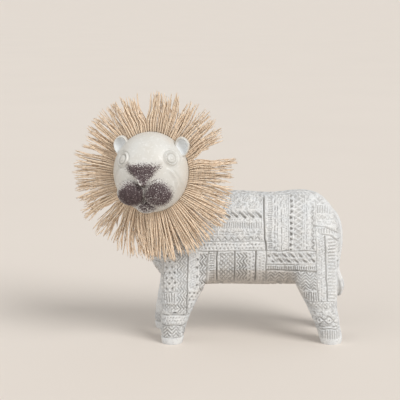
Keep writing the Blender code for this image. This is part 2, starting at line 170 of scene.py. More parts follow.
# Head: its own axes are x to the viewer's right, y away from the viewer and z up; a blend is how
# softly a form runs into the ball
HEAD_CENTRE = (-55.5, -52.0, 175.3)
HEAD_YAW = math.radians(-10.0)
HEAD_RADII = (36.0, 33.0, 38.5)
HEAD_CUTS = 53
EYE_SIDES = (22.0, 23.6)
EYE_HEIGHTS = (14.8, 16.4)
PAD_CENTRE = (12.6, -29.0, -15.6)
PAD_RADII = (13.6, 12.0, 12.2)
CHIN_CENTRE = (0.0, -22.0, -28.5)
CHIN_RADII = (10.5, 9.0, 7.5)
NOSE_TOP = 13.0
NOSE_TIP = -7.5
NOSE_TOP_HALF = 16.0
NOSE_TIP_HALF = 2.6
NOSE_DEPTH = 40.6
NOSE_TOP_DEPTH = 32.3
NOSE_BACK = 13.0
NOSE_FRONT_SHARE = 0.95
NOSE_LIFT = 0.8
PAD_BLEND = 2.4
CHIN_BLEND = 2.0
NOSE_BLEND = 6.0
EAR_CENTRE = (30.0, -2.6, 25.6)
EAR_SHIFT = 1.2
EAR_RADII = (7.1, 6.3, 9.3)
EAR_TAPER = 0.30
EAR_LEAN = -0.12

# Rings round an eye: distance from its centre, half width, soft edge and height
EYE_DOME = 4.2
EYE_DOME_HEIGHT = 1.9
EYE_RINGS = (
    (2.3, 0.2, 0.4, -0.5),
    (4.4, 0.2, 0.4, -0.6),
    (5.9, 0.35, 0.7, 2.2),
    (7.7, 0.2, 0.6, -0.9),
)

# Grey painted shade in the grooves round an eye: distance from its centre, half width, soft edge and amount
EYE_GROOVE_SHADES = (
    (2.4, 0.2, 0.4, 0.5),
    (4.5, 0.3, 0.5, 1.0),
    (7.8, 0.3, 0.6, 0.8),
)

# The fold between cheek and muzzle: how far out it lies at each height
FOLD_HEIGHTS = (-20.0, -12.0, -2.0, 4.0, 9.5)
FOLD_SIDES = (29.0, 29.8, 27.9, 24.5, 20.0)

# The dark wash in the photograph's frame: both edges of the nose at each height, and for each pad
# its middle across and down and its reach across and down
NOSE_WASH_HEIGHTS = (163.0, 167.5, 171.7, 175.5, 179.5, 183.0, 187.5)
NOSE_WASH_LEFT = (125.6, 125.8, 127.0, 131.5, 136.9, 139.2, 140.4)
NOSE_WASH_RIGHT = (162.4, 162.0, 158.0, 154.0, 149.6, 147.4, 146.2)
PAD_WASHES = ((131.8, 193.0, 15.6, 14.4), (157.8, 193.0, 16.4, 14.6))

# Mane: its middle in the head's axes, its reach sideways and downwards, the half depth of its roots,
# the locks that its strands gather in, and the stations, points round and twist of a strand
MANE_MIDDLE = (1.8, 7.0, -5.5)
MANE_REACH = 80.5
MANE_DROP = 83.0
MANE_HALF_ROOT = 6.0
LOCKS = 64
STRAND_STATIONS = 20
STRAND_POINTS = 6
STRAND_TWIST = 0.62

# Parts of the mane from front to back: name, seed of its random draws and number of layers
MANE_PARTS = (("mane_front", 11, 3), ("mane_middle", 23, 2), ("mane_back", 37, 2))

# The cord round the back of the head
BINDING_TURNS = 3
BINDING_STATIONS = 120
BINDING_POINTS = 8
BINDING_TWIST = 0.8

# Partings of the mane: angle and half width in degrees, and where along the strands they open
PARTINGS = (
    (98.0, 4.8, 0.26),
    (24.2, 6.6, 0.16),
    (8.0, 1.3, 0.55),
    (357.0, 1.7, 0.5),
    (38.0, 1.6, 0.6),
    (44.0, 1.5, 0.65),
    (56.0, 2.0, 0.5),
    (68.0, 1.6, 0.55),
    (84.0, 1.3, 0.6),
    (115.0, 1.5, 0.6),
    (128.0, 1.7, 0.5),
    (147.0, 1.4, 0.55),
    (159.5, 2.8, 0.3),
    (171.0, 1.5, 0.55),
    (187.0, 1.3, 0.6),
    (198.0, 1.4, 0.55),
    (213.0, 2.6, 0.25),
    (226.0, 3.0, 0.28),
    (233.5, 2.4, 0.32),
    (241.0, 2.4, 0.36),
    (249.0, 1.5, 0.5),
    (286.0, 1.2, 0.65),
    (300.0, 1.0, 0.65),
    (312.0, 1.4, 0.65),
    (331.0, 1.3, 0.6),
    (345.0, 1.3, 0.6),
)
PARTING_RUN = 0.42

# How far the lower left strands fall aside, by the angle of their roots in degrees
FALL_ANGLES = (205.0, 212.0, 218.0, 228.0, 236.0, 243.0, 256.0, 268.0)
FALL_TURNS = (0.0, 2.0, 5.0, 10.0, 15.0, 16.0, 9.0, 0.0)

# Bands of the flank in the photograph's frame: pattern, whether it runs upright, left, top, right,
# bottom, pitch and depth
FLANK_BANDS = (
    ("blossoms", False, 200.0, 193.0, 262.0, 208.5, 13.0, 0.75),
    ("leaves", False, 200.0, 209.0, 262.0, 218.6, 8.2, 1.3),
    ("dots", False, 200.0, 218.9, 262.0, 221.3, 3.0, 0.8),
    ("comb", False, 200.0, 222.0, 262.0, 228.6, 2.3, 0.8),
    ("dots", False, 200.0, 229.0, 262.0, 231.0, 3.2, 0.8),
    ("dashes", False, 200.0, 231.2, 262.5, 232.8, 6.2, 1.0),
    ("dashes", False, 203.0, 233.6, 262.5, 235.0, 5.2, 1.0),
    ("zigzag", False, 198.0, 235.6, 262.5, 240.8, 6.6, 0.9),
    ("dots", False, 198.0, 243.0, 262.0, 250.4, 3.7, 0.95),
    ("comb", True, 209.0, 253.0, 214.6, 290.0, 2.4, 0.9),
    ("mesh", False, 219.0, 253.0, 233.6, 290.0, 4.4, 0.9),
    ("waves", True, 236.2, 253.0, 247.0, 290.0, 8.6, 1.0),
    ("dots", True, 247.6, 253.0, 255.0, 290.0, 3.6, 1.0),
    ("dots", True, 257.8, 253.0, 264.8, 290.0, 2.9, 0.75),
    ("comb", True, 267.6, 190.0, 272.2, 250.2, 2.2, 0.9),
    ("dashes", True, 274.0, 190.0, 275.4, 250.2, 7.0, 1.0),
    ("dashes", True, 276.6, 190.0, 277.8, 250.2, 5.3, 0.9),
    ("dots", True, 278.4, 190.0, 280.2, 250.2, 3.4, 0.7),
    ("dashes", True, 280.6, 190.0, 281.8, 250.2, 9.0, 1.0),
    ("dots", True, 282.6, 190.0, 287.2, 250.2, 2.6, 0.7),
    ("notches", True, 289.6, 192.0, 293.6, 250.4, 5.6, 1.3),
    ("diamonds", True, 293.6, 190.0, 302.8, 250.4, 5.6, 0.95),
    ("dashes", True, 303.5, 190.0, 304.7, 250.2, 4.2, 0.85),
    ("dashes", True, 306.0, 190.0, 307.2, 250.2, 5.6, 0.85),
    ("dots", True, 307.9, 190.0, 309.3, 250.2, 2.8, 0.7),
    ("zigzag", True, 309.9, 205.0, 314.6, 250.2, 6.1, 0.95),
    ("leaves", False, 267.5, 252.4, 316.0, 258.0, 8.2, 1.0),
    ("leaves", False, 271.6, 257.8, 316.0, 263.4, 8.2, 1.1),
    ("comb", False, 267.5, 266.2, 315.5, 270.0, 2.2, 0.85),
    ("waves", False, 262.0, 272.4, 316.6, 291.0, 8.7, 0.9),
    ("diamonds", False, 316.4, 195.0, 334.0, 203.8, 5.8, 0.8),
    ("comb", False, 316.4, 205.0, 336.5, 213.0, 2.5, 0.9),
    ("zigzag", False, 316.4, 214.2, 337.5, 219.6, 4.6, 0.65),
    ("dots", False, 316.4, 220.2, 338.5, 225.2, 2.7, 0.75),
    ("comb", False, 318.0, 228.4, 338.0, 233.6, 2.6, 0.85),
    ("dots", True, 317.8, 236.0, 325.4, 302.0, 2.7, 0.85),
    ("comb", True, 327.8, 238.0, 336.0, 300.0, 3.3, 0.75),
    ("comb", False, 281.0, 292.4, 320.4, 301.2, 2.4, 0.95),
    ("mesh", False, 281.0, 303.2, 344.0, 310.6, 3.7, 0.75),
    ("dashes", False, 281.0, 311.4, 344.0, 312.7, 7.0, 0.95),
    ("dashes", False, 281.0, 313.6, 344.0, 314.8, 5.0, 0.9),
    ("lozenges", False, 281.0, 316.0, 346.0, 325.6, 9.6, 1.05),
    ("comb", False, 281.0, 330.6, 346.0, 339.8, 2.5, 0.75),
    ("diamonds", False, 148.0, 196.0, 197.0, 204.0, 8.4, 0.95),
    ("comb", False, 148.0, 206.0, 197.0, 212.0, 2.8, 0.85),
    ("waves", False, 148.0, 214.0, 197.0, 232.0, 8.8, 0.95),
    ("leaves", False, 148.0, 234.0, 197.0, 242.0, 8.2, 1.0),
    ("circles", False, 148.0, 243.5, 197.0, 250.5, 7.0, 0.8),
    ("mesh", False, 150.0, 253.0, 163.0, 292.0, 4.6, 0.6),
    ("mesh", False, 163.4, 254.0, 176.2, 291.8, 4.2, 0.6),
    ("dots", False, 163.4, 254.0, 176.2, 291.8, 5.6, 1.3),
    ("waves", True, 176.6, 253.0, 187.4, 315.2, 8.6, 0.85),
    ("hatch", True, 189.6, 254.0, 196.0, 290.0, 2.6, 0.6),
    ("notches", True, 196.0, 256.0, 199.2, 312.0, 8.4, 1.3),
    ("waves", True, 199.2, 254.0, 207.6, 312.0, 8.4, 1.1),
    ("dots", False, 188.0, 291.0, 196.4, 314.6, 4.0, 1.2),
    ("comb", False, 150.0, 293.8, 176.2, 303.4, 2.5, 0.85),
    ("mesh", False, 150.0, 304.2, 176.2, 311.2, 3.6, 0.85),
    ("dashes", False, 150.0, 311.8, 176.6, 313.2, 5.6, 0.9),
    ("dots", False, 140.0, 316.8, 206.0, 325.0, 2.9, 0.95),
    ("waves", False, 140.0, 327.0, 206.0, 337.0, 9.0, 0.95),
)

# Single grooves of the flank: the points that each one runs through, its half width and depth
FLANK_GROOVES = (
    (((263.6, 191.0), (264.2, 230.0), (266.2, 251.2)), 0.8, 1.7),
    (((198.0, 241.8), (264.5, 241.6)), 0.5, 1.1),
    (((198.0, 251.6), (266.0, 251.2), (316.0, 251.4)), 0.5, 1.2),
    (((288.0, 196.0), (288.4, 251.0)), 0.45, 0.8),
    (((315.6, 200.0), (315.5, 233.0), (316.4, 252.0)), 0.45, 0.9),
    (((313.8, 226.2), (324.0, 226.4), (338.5, 232.6)), 0.6, 1.2),
    (((321.6, 234.2), (330.0, 235.2), (338.2, 241.2)), 0.6, 1.2),
    (((266.4, 252.0), (266.0, 289.0)), 0.6, 1.2),
    (((267.0, 265.0), (315.8, 264.8)), 0.5, 1.1),
    (((266.8, 270.8), (284.0, 270.4), (316.0, 272.0)), 0.7, 1.5),
    (((316.0, 252.0), (317.4, 290.0), (318.5, 302.0)), 0.5, 1.0),
    (((325.2, 236.0), (325.8, 262.0), (327.6, 301.0)), 0.6, 1.4),
    (((217.2, 252.0), (216.6, 286.0)), 0.7, 1.6),
    (((234.9, 252.0), (234.2, 286.0)), 0.7, 1.6),
    (((256.0, 252.0), (254.8, 286.0)), 0.8, 1.7),
    (((208.0, 252.0), (206.4, 286.0)), 0.6, 1.2),
    (((282.0, 302.2), (344.0, 302.2)), 0.5, 1.1),
    (((282.0, 326.6), (346.0, 326.6)), 0.55, 1.5),
    (((282.0, 329.4), (346.0, 329.4)), 0.55, 1.4),
    (((188.1, 253.0), (187.6, 290.0), (187.2, 315.0)), 0.65, 1.4),
    (((162.6, 254.0), (163.4, 292.0)), 0.5, 1.0),
    (((150.0, 292.6), (177.4, 292.6)), 0.5, 1.1),
    (((140.0, 315.4), (206.0, 315.4)), 0.6, 1.4),
    (((140.0, 325.8), (206.0, 325.8)), 0.7, 1.5),
    (((140.0, 337.6), (206.0, 337.6)), 0.55, 1.1),
)

# Bands of the hidden sides, in shares across and along: over the back, and on rump and chest
BACK_BANDS = (
    ("diamonds", False, -70.0, -6.0, 140.0, 6.0, 9.0, 0.95),
    ("dots", False, -70.0, 8.6, 140.0, 12.4, 3.8, 0.8),
    ("zigzag", False, -70.0, 15.0, 140.0, 22.0, 8.0, 0.9),
)
BACK_GROOVES = (
    (((-70.0, 7.4), (140.0, 7.4)), 0.6, 1.3),
    (((-70.0, 13.6), (140.0, 13.6)), 0.6, 1.3),
    (((-70.0, 23.4), (140.0, 23.4)), 0.6, 1.3),
)
END_BANDS = (
    ("comb", False, 0.0, 60.0, 44.0, 68.0, 2.8, 0.85),
    ("zigzag", False, 0.0, 72.0, 44.0, 80.0, 7.6, 0.95),
    ("dots", False, 0.0, 84.0, 44.0, 90.0, 4.4, 0.8),
    ("diamonds", False, 0.0, 93.0, 44.0, 103.0, 8.4, 0.95),
    ("comb", False, 0.0, 106.0, 44.0, 113.0, 2.8, 0.85),
    ("waves", False, 0.0, 116.0, 44.0, 132.0, 8.8, 0.9),
)
END_GROOVES = tuple((((0.0, z), (44.0, z)), 0.6, 1.3) for z in (70.0, 82.0, 91.4, 104.6, 114.6))

# How far the lines of the carving waver, and over what length
WAVER = 1.1
WAVER_LENGTH = 7.0

# Lamps: name, way towards the lamp, spread in degrees and share of the lamps' strength
LAMPS = (
    ("key", (0.58, -0.62, 0.68), 32.0, 0.96),
    ("fill", (-0.85, -0.60, 0.35), 70.0, 0.34),
)


def smoothstep(t):
    t = np.clip(t, 0.0, 1.0)
    return t * t * (3.0 - 2.0 * t)


def rise(t, start, end):
    """0 before start, 1 after end and smooth between."""
    return smoothstep((t - start) / (end - start))


def fall(t, start, end):
    """1 before start, 0 after end and smooth between."""
    return smoothstep((end - t) / (end - start))


def line(distance, half, soft=0.45):
    """1 on a line of this half width, falling to 0 at its edges."""
    return smoothstep((half + soft - np.abs(distance)) / (2.0 * soft))


def nearest(t, pitch):
    """Signed distance to the nearest of marks that stand in the middle of each pitch."""
    return (t / pitch - np.floor(t / pitch) - 0.5) * pitch


def peaks(t, pitch):
    """0 to 1 and back to 0 over each pitch."""
    return 1.0 - np.abs(2.0 * (t / pitch - np.floor(t / pitch)) - 1.0)


def scattered(t, seed):
    """A fixed number between 0 and 1 for each whole number."""
    value = np.sin(t * 12.9898 + seed * 78.233) * 43758.5453
    return value - np.floor(value)


def unevenness(u, v, size, seed):
    """A smooth field between 0 and 1, with humps about this far apart."""
    x, y = u / size, v / size
    left, low = np.floor(x), np.floor(y)
    across, up = smoothstep(x - left), smoothstep(y - low)
    rows = []
    for step in (0.0, 1.0):
        first = scattered(left + (low + step) * 57.0, seed)
        second = scattered(left + 1.0 + (low + step) * 57.0, seed)
        rows.append(first * (1.0 - across) + second * across)
    return rows[0] * (1.0 - up) + rows[1] * up


# Patterns of the carving: the share of the full depth at a place along and across a band


def comb(run, across, pitch, height):
    """Short strokes side by side across the band."""
    return line(nearest(run, pitch), pitch * 0.22, pitch * 0.18)


def zigzag(run, across, pitch, height):
    """A bold zigzag with a fainter one beside it."""
    swing = height - 1.4
    slope = 2.0 * swing / pitch
    middle = 0.7 + swing * peaks(run, pitch)
    away = (across - middle) / math.hypot(1.0, slope)
    return np.maximum(line(away - 0.7, 0.6, 0.5), 0.6 * line(away + 1.1, 0.35, 0.5))


def waves(run, across, pitch, height):
    """Zigzags stacked over the height of the band."""
    fold = across - 0.46 * pitch * peaks(run, pitch) + 40.0
    return line(nearest(fold, 3.2), 0.72, 0.55)


def dots(run, across, pitch, height):
    """Rows of pits, every other row shifted by half a pitch."""
    rows = max(1, int(height / pitch + 0.4))
    step = height / rows
    row = np.floor(across / step)
    dx = nearest(run + pitch / 2.0 * (row % 2), pitch)
    dy = nearest(across, step)
    return line(np.hypot(dx, dy), min(pitch, step) * 0.2, 0.45)


def dashes(run, across, pitch, height):
    """A broken line whose strokes differ in length."""
    stroke = line(across - height / 2.0, 0.45)
    cell = np.floor(run / pitch)
    reach = pitch * (0.30 + 0.14 * scattered(cell, 3.0))
    return stroke * line(nearest(run, pitch), reach, 0.4)


def circles(run, across, pitch, height):
    """Rings with a pit in the middle, and small pits between them."""
    radius = min(pitch, height) * 0.36
    reach = np.hypot(nearest(run, pitch), across - height / 2.0)
    spots = np.hypot(nearest(run + pitch / 2.0, pitch), np.abs(across - height / 2.0) - height * 0.34)
    marks = np.maximum(line(reach - radius, 0.5, 0.45), line(reach, radius * 0.3, 0.4))
    return np.maximum(marks, 0.7 * line(spots, 0.3, 0.35))


def diamonds(run, across, pitch, height):
    """Raised outlines of diamonds, each with a pit in its middle."""
    dx = np.abs(nearest(run, pitch)) / (pitch / 2.0)
    dy = np.abs(across - height / 2.0) / (height / 2.0)
    reach = (dx + dy - 0.95) * min(pitch, height) / 2.6
    core = (dx + dy) * min(pitch, height) / 2.6
    return np.maximum(0.75 * (1.0 - line(reach, 0.55, 0.5)), line(core, 0.4, 0.4))


def lozenges(run, across, pitch, height):
    """Two mirrored waves that meet in a chain, with a pit in each of its openings."""
    swing = 0.5 * np.cos(2.0 * math.pi * run / pitch)
    apart = np.abs(across - height / 2.0) - height * (0.24 + 0.30 * swing)
    stroke = np.maximum(line(apart, 0.5, 0.45), 0.7 * line(apart - 2.2, 0.3, 0.4))
    pit = np.hypot(nearest(run + pitch / 2.0, pitch), across - height / 2.0)
    return np.maximum(stroke, line(pit, 0.7, 0.5))


def leaves(run, across, pitch, height):
    """Raised leaves that lean along the band, with a pointed hollow between each two."""
    share = across / height
    bend = height * 0.7 * smoothstep(share)
    beside = nearest(run - bend, pitch)
    half = pitch * 0.32 * np.minimum(share, 4.0 * (1.0 - share)) - 0.3
    hollow = line(beside - pitch * 0.22, half, 0.6) * (half > -0.4)
    veins = np.maximum(line(beside + pitch * 0.24, 0.4, 0.4), line(beside - pitch * 0.02, 0.3, 0.4))
    return np.maximum(hollow, 0.75 * veins * rise(share, 0.05, 0.3) * fall(share, 0.7, 0.95))


def notches(run, across, pitch, height):
    """Pointed notches that start at one edge of the band."""
    dx = nearest(run, pitch)
    return smoothstep(((height - across) * 0.72 - np.abs(dx)) / 0.9) * rise(across, 0.1, 0.7)


def mesh(run, across, pitch, height):
    """Crossed slanting lines, one kind bolder in every other cell."""
    one = line(nearest(run + across, pitch) / 1.42, 0.55, 0.45)
    other = line(nearest(run - across + 400.0, pitch) / 1.42, 0.55, 0.45)
    cell = np.floor((run + across) / (2.0 * pitch)) + np.floor((run - across + 400.0) / (2.0 * pitch))
    return np.maximum(one * 0.9, other * (0.55 + 0.45 * (cell % 2)))


def hatch(run, across, pitch, height):
    """Slanting strokes side by side."""
    return line(nearest(run + across * 0.6, pitch), 0.45, 0.5)


def blossoms(run, across, pitch, height):
    """Round flowers of five petals, staggered in two rows."""
    total = np.zeros_like(run)
    for row, (centre, offset) in enumerate(((0.3, 0.0), (0.78, 0.5))):
        dx = nearest(run + offset * pitch, pitch)
        dy = across - height * centre
        reach = np.hypot(dx, dy)
        turn = np.arctan2(dy, dx)
        petal = 2.7 + 1.0 * np.cos(5.0 * turn + row)
        outline = line(reach - petal, 0.5, 0.5)
        total = np.maximum(total, np.maximum(outline, line(reach, 0.6, 0.4)))
    return total


PATTERNS = {
    "comb": comb,
    "zigzag": zigzag,
    "waves": waves,
    "dots": dots,
    "dashes": dashes,
    "circles": circles,
    "diamonds": diamonds,
    "lozenges": lozenges,
    "leaves": leaves,
    "notches": notches,
    "mesh": mesh,
    "hatch": hatch,
    "blossoms": blossoms,
}
FAR_PATTERNS = ("zigzag", "diamonds", "leaves", "circles", "waves", "lozenges", "comb")


def carve_bands(u, v, bands, allowed=None):
    """How deep the bands of patterns are cut at these places."""
    depth = np.zeros_like(u)
    for name, upright, left, top, right, bottom, pitch, strength in bands:
        if allowed and name not in allowed:
            continue
        inside = (u > left) & (u < right) & (v > top) & (v < bottom)
        if not inside.any():
            continue
        run, across = u[inside] - left, v[inside] - top
        length, height = right - left, bottom - top
        if upright:
            run, across, length, height = across, run, height, length
        edge = np.minimum(np.minimum(run, length - run), np.minimum(across, height - across))
        marks = PATTERNS[name](run, across, pitch, height)
        depth[inside] = np.maximum(depth[inside], marks * strength * smoothstep(edge / 0.5))
    return depth


def carve_grooves(u, v, grooves):
    """How deep the single grooves are cut at these places."""
    depth = np.zeros_like(u)
    for points, half, strength in grooves:
        for (u0, v0), (u1, v1) in zip(points, points[1:]):
            length = math.hypot(u1 - u0, v1 - v0)
            along = ((u - u0) * (u1 - u0) + (v - v0) * (v1 - v0)) / length
            across = ((u - u0) * (v1 - v0) - (v - v0) * (u1 - u0)) / length
            past = np.maximum(np.maximum(-along, along - length), 0.0)
            distance = np.hypot(across, past)
            depth = np.maximum(depth, 0.85 * strength * line(distance, half * 0.85, 0.5))
    return depth


def carve(u, v, bands, grooves, allowed=None):
    return np.maximum(carve_bands(u, v, bands, allowed), carve_grooves(u, v, grooves))


def photo_place(points):
    """Where points of the drawing lie in the photograph's frame."""
    aim = np.array((0.0, math.cos(VIEW_ELEVATION), -math.sin(VIEW_ELEVATION)))
    up = np.array((0.0, math.sin(VIEW_ELEVATION), math.cos(VIEW_ELEVATION)))
    offset = points - np.array(VIEW_TARGET) + aim * VIEW_DISTANCE
    depth = offset @ aim
    middle = FRAME_PIXELS / 2.0
    return middle + VIEW_DISTANCE * offset[:, 0] / depth, middle - VIEW_DISTANCE * (offset @ up) / depth


def placed(points):
    """Points of the drawing as metres in the row frame."""
    return (np.asarray(points) + np.array(SHIFT)) * SHARE


def from_head(points):
    """Points in the head's axes as points of the drawing."""
    turn = np.array(Matrix.Translation(Vector(HEAD_CENTRE)) @ Matrix.Rotation(HEAD_YAW, 4, "Z"))
    return points @ turn[:3, :3].T + turn[:3, 3]


# Work on objects and their meshes


def deselect():
    for thing in bpy.context.selected_objects:
        thing.select_set(False)


def activate(thing):
    deselect()
    thing.select_set(True)
    bpy.context.view_layer.objects.active = thing


def measured(items, measure, size=3):
    """One measure of all the points or faces of a mesh, a row for each."""
    values = np.empty(len(items) * size)
    items.foreach_get(measure, values)
    return values.reshape(-1, size)


def coordinates(thing):
    return measured(thing.data.vertices, "co")


def point_normals(thing):
    return measured(thing.data.vertex_normals, "vector")


def face_centres(thing):
    return measured(thing.data.polygons, "center")


def face_normals(thing):
    return measured(thing.data.polygons, "normal")


def face_areas(thing):
    return measured(thing.data.polygons, "area", 1)[:, 0]


def move_points(thing, points):
    thing.data.vertices.foreach_set("co", np.asarray(points, dtype=float).ravel())
    thing.data.update()


def set_attribute(thing, name, values):
    attribute = thing.data.attributes.new(name, "FLOAT", "POINT")
    attribute.data.foreach_set("value", np.asarray(values, dtype=np.float32))


def select_faces(thing, chosen):
    """Selects only these faces of the object, and opens it in edit mode."""
    activate(thing)
    bpy.ops.object.mode_set(mode="EDIT")
    bpy.ops.mesh.select_mode(type="FACE")
    bpy.ops.mesh.select_all(action="DESELECT")
    bpy.ops.object.mode_set(mode="OBJECT")
    thing.data.polygons.foreach_set("select", np.asarray(chosen, dtype=bool))
    bpy.ops.object.mode_set(mode="EDIT")


def subdivide(thing, chosen, cuts):
    select_faces(thing, chosen)
    bpy.ops.mesh.subdivide(number_cuts=cuts)
    bpy.ops.object.mode_set(mode="OBJECT")


def apply_modifier(thing, kind, **settings):
    activate(thing)
    step = thing.modifiers.new(kind.lower(), kind)
    for name, value in settings.items():
        setattr(step, name, value)
    bpy.ops.object.modifier_apply(modifier=step.name)


def unite(thing, other):
    """Joins another closed object to this one, which uses it up."""
    apply_modifier(thing, "BOOLEAN", operation="UNION", solver="EXACT", object=other)
    bpy.data.objects.remove(other)


def add_object(name, data):
    thing = bpy.data.objects.new(name, data)
    bpy.context.scene.collection.objects.link(thing)
    return thing


def object_from(name, bm):
    bmesh.ops.recalc_face_normals(bm, faces=bm.faces)
    made = bpy.data.meshes.new(name)
    bm.to_mesh(made)
    bm.free()
    return add_object(name, made)


def finish_piece(thing, name, replaced, surface):
    thing.name = name
    thing.data.name = name
    thing.data.materials.clear()
    thing.data.materials.append(surface)
    thing.data.shade_smooth()
    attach(thing, "root")
    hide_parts(replaced)


# The body with its legs, neck and tail


def bridge(bm, first, second):
    """Faces between two closed loops of as many points."""
    count = len(first)
    for i in range(count):
        j = (i + 1) % count
        bm.faces.new((first[i], first[j], second[j], second[i]))


def swell(count):
    """How far outside a smooth round outline the ring of points lies that the outline is drawn from."""
    return 3.0 / (2.0 + math.cos(2.0 * math.pi / count))


def body_rings(bm):
    rings = []
    for x, low, high, half in BODY_SECTIONS:
        middle = (low + high) / 2.0
        height = (high - low) / 2.0 * swell(POINTS_AROUND)
        ring = []
        for k in range(POINTS_AROUND):
            angle = 2.0 * math.pi * k / POINTS_AROUND
            y = -half * swell(POINTS_AROUND) * math.sin(angle)
            ring.append(bm.verts.new((x, y, middle - height * math.cos(angle))))
        rings.append(ring)
    return rings


def patch_border(rings, section, sections, first, last):
    """The border of a patch of body points, which starts along its first side."""
    rows = []
    for k in range(first, last + 1):
        rows.append([rings[section + s][k % POINTS_AROUND] for s in range(sections + 1)])
    border = list(rows[0])
    border += [row[-1] for row in rows[1:-1]]
    border += list(reversed(rows[-1]))
    border += [row[0] for row in reversed(rows[1:-1])]
    return border


def leg(bm, loop, levels, side, shift):
    """Loops down from the body's border to below the sole, where the leg is closed."""
    count = len(loop)
    for (z, front, rear, half), moved in zip(levels, LEG_SHIFT_SHARES):
        centre = (front + rear) / 2.0 + shift * moved
        ring = []
        for i in range(count):
            angle = 2.0 * math.pi * (LEG_SECTIONS + 1 - i) / count
            x = centre + (rear - front) / 2.0 * swell(count) * math.cos(angle)
            y = side + half * swell(count) * math.sin(angle)
            ring.append(bm.verts.new((x, y, z)))
        bridge(bm, loop, ring)
        loop = ring
    bm.faces.new(loop)


def neck(bm, loop):
    """Loops up from the body's border into the head, where the neck is closed."""
    count = len(loop)
    for centre, direction, radius in NECK_RINGS:
        axis = Vector(direction).normalized()
        along = Vector((1.0, 0.0, 0.0))
        along = (along - axis * along.dot(axis)).normalized()
        across = axis.cross(along)
        ring = []
        for i in range(count):
            angle = -math.pi / 2.0 + (i - NECK_SECTIONS / 2.0) * 2.0 * math.pi / count
            spread = along * math.cos(angle) + across * math.sin(angle)
            ring.append(bm.verts.new(Vector(centre) + spread * radius * swell(count)))
        bridge(bm, loop, ring)
        loop = ring
    bm.faces.new(loop)


def body_form():
    """The smooth form of body, neck and legs, cut off flat at the soles."""
    bm = bmesh.new()
    rings = body_rings(bm)
    first, last = LEG_POINTS
    far_points = (POINTS_AROUND - last, POINTS_AROUND - first)
    legs = (
        (FRONT_LEG_SECTION, LEG_POINTS, FRONT_LEG_LEVELS, -LEG_SIDE, 0.0),
        (FRONT_LEG_SECTION, far_points, FRONT_LEG_LEVELS, LEG_SIDE, FAR_FRONT_LEG_SHIFT),
        (REAR_LEG_SECTION, LEG_POINTS, REAR_LEG_LEVELS, -LEG_SIDE, 0.0),
        (REAR_LEG_SECTION, far_points, REAR_LEG_LEVELS, LEG_SIDE, FAR_REAR_LEG_SHIFT),
    )
    openings = [(section, points, LEG_SECTIONS) for section, points, *_ in legs]
    openings.append((NECK_SECTION, NECK_POINTS, NECK_SECTIONS))

    def is_open(s, k):
        return any(
            section <= s < section + sections and low <= k < high
            for section, (low, high), sections in openings
        )

    for s in range(len(rings) - 1):
        for k in range(POINTS_AROUND):
            if not is_open(s, k):
                j = (k + 1) % POINTS_AROUND
                bm.faces.new((rings[s][k], rings[s][j], rings[s + 1][j], rings[s + 1][k]))
    bm.faces.new(rings[0])
    bm.faces.new(rings[-1])
    for section, points, levels, side, shift in legs:
        leg(bm, patch_border(rings, section, LEG_SECTIONS, *points), levels, side, shift)
    neck(bm, patch_border(rings, NECK_SECTION, NECK_SECTIONS, *NECK_POINTS))
    bmesh.ops.delete(bm, geom=[point for point in bm.verts if not point.link_faces], context="VERTS")
    body = object_from(BODY_NAME, bm)
    apply_modifier(body, "SUBSURF", levels=FORM_LEVELS, render_levels=FORM_LEVELS)
    activate(body)
    bpy.ops.object.mode_set(mode="EDIT")
    bpy.ops.mesh.select_all(action="SELECT")
    bpy.ops.mesh.bisect(plane_co=(0, 0, 0), plane_no=(0, 0, 1), use_fill=True, clear_inner=True)
    bpy.ops.object.mode_set(mode="OBJECT")
    return body


def tail():
    """A round strip down the middle of the rump that ends in a hanging tuft."""
    bm = bmesh.new()
    centres = [Vector((x, 0.0, z)) for x, z, _ in TAIL_RINGS]
    side = Vector((0.0, 1.0, 0.0))
    last = len(centres) - 1
    rings = []
    for i, (_, _, radius) in enumerate(TAIL_RINGS):
        along = (centres[min(i + 1, last)] - centres[max(i - 1, 0)]).normalized()
        out = along.cross(side)
        ring = []
        for k in range(TAIL_POINTS):
            angle = 2.0 * math.pi * k / TAIL_POINTS
            spread = side * math.cos(angle) * TAIL_WIDENING + out * math.sin(angle)
            ring.append(bm.verts.new(centres[i] + spread * radius * swell(TAIL_POINTS)))
        rings.append(ring)
    for first, second in zip(rings, rings[1:]):
        bridge(bm, first, second)
    bm.faces.new(rings[0])
    bm.faces.new(rings[-1])
    strip = object_from("tail", bm)
    apply_modifier(strip, "SUBSURF", levels=2, render_levels=2)
    return strip


def refine_body(body):
    """Cuts the faces where the carving is, finer on the near flank, and smooths between them."""
    for cuts in (2, 1):
        x, y, z = face_centres(body).T
        normals, areas = face_normals(body), face_areas(body)
        under = (normals[:, 2] < -0.8) & (z > 40.0)
        on_soles = (normals[:, 2] < -0.9) & (z < 1.0)
        in_neck = (z > 152.0) & (x < 20.0)
        inside_leg = (z < 52.0) & (normals[:, 1] * np.sign(y) < -0.2)
        behind_mane = (y < -6.0) & (x < 2.0) & (z > 106.0)
        near = (y < -8.0) & (normals[:, 1] < -0.26) & ~on_soles & ~in_neck & ~behind_mane
        if cuts == 2:
            chosen = near & (areas > NEAR_FACE_FIRST)
        else:
            plain = on_soles | under | in_neck | inside_leg | behind_mane
            chosen = (near & (areas > NEAR_FACE_THEN)) | (~plain & (areas > OTHER_FACE))
        subdivide(body, chosen, cuts)
    select_faces(body, face_centres(body)[:, 2] > 2.0)
    bpy.ops.mesh.vertices_smooth(factor=0.5, repeat=3)
    bpy.ops.object.mode_set(mode="OBJECT")


def leg_middle(levels, z):
    """The middle and half length of a leg at these heights."""
    heights, fronts, rears, _ = np.array(levels[::-1]).T
    front, rear = np.interp(z, heights, fronts), np.interp(z, heights, rears)
    return (front + rear) / 2.0, (rear - front) / 2.0


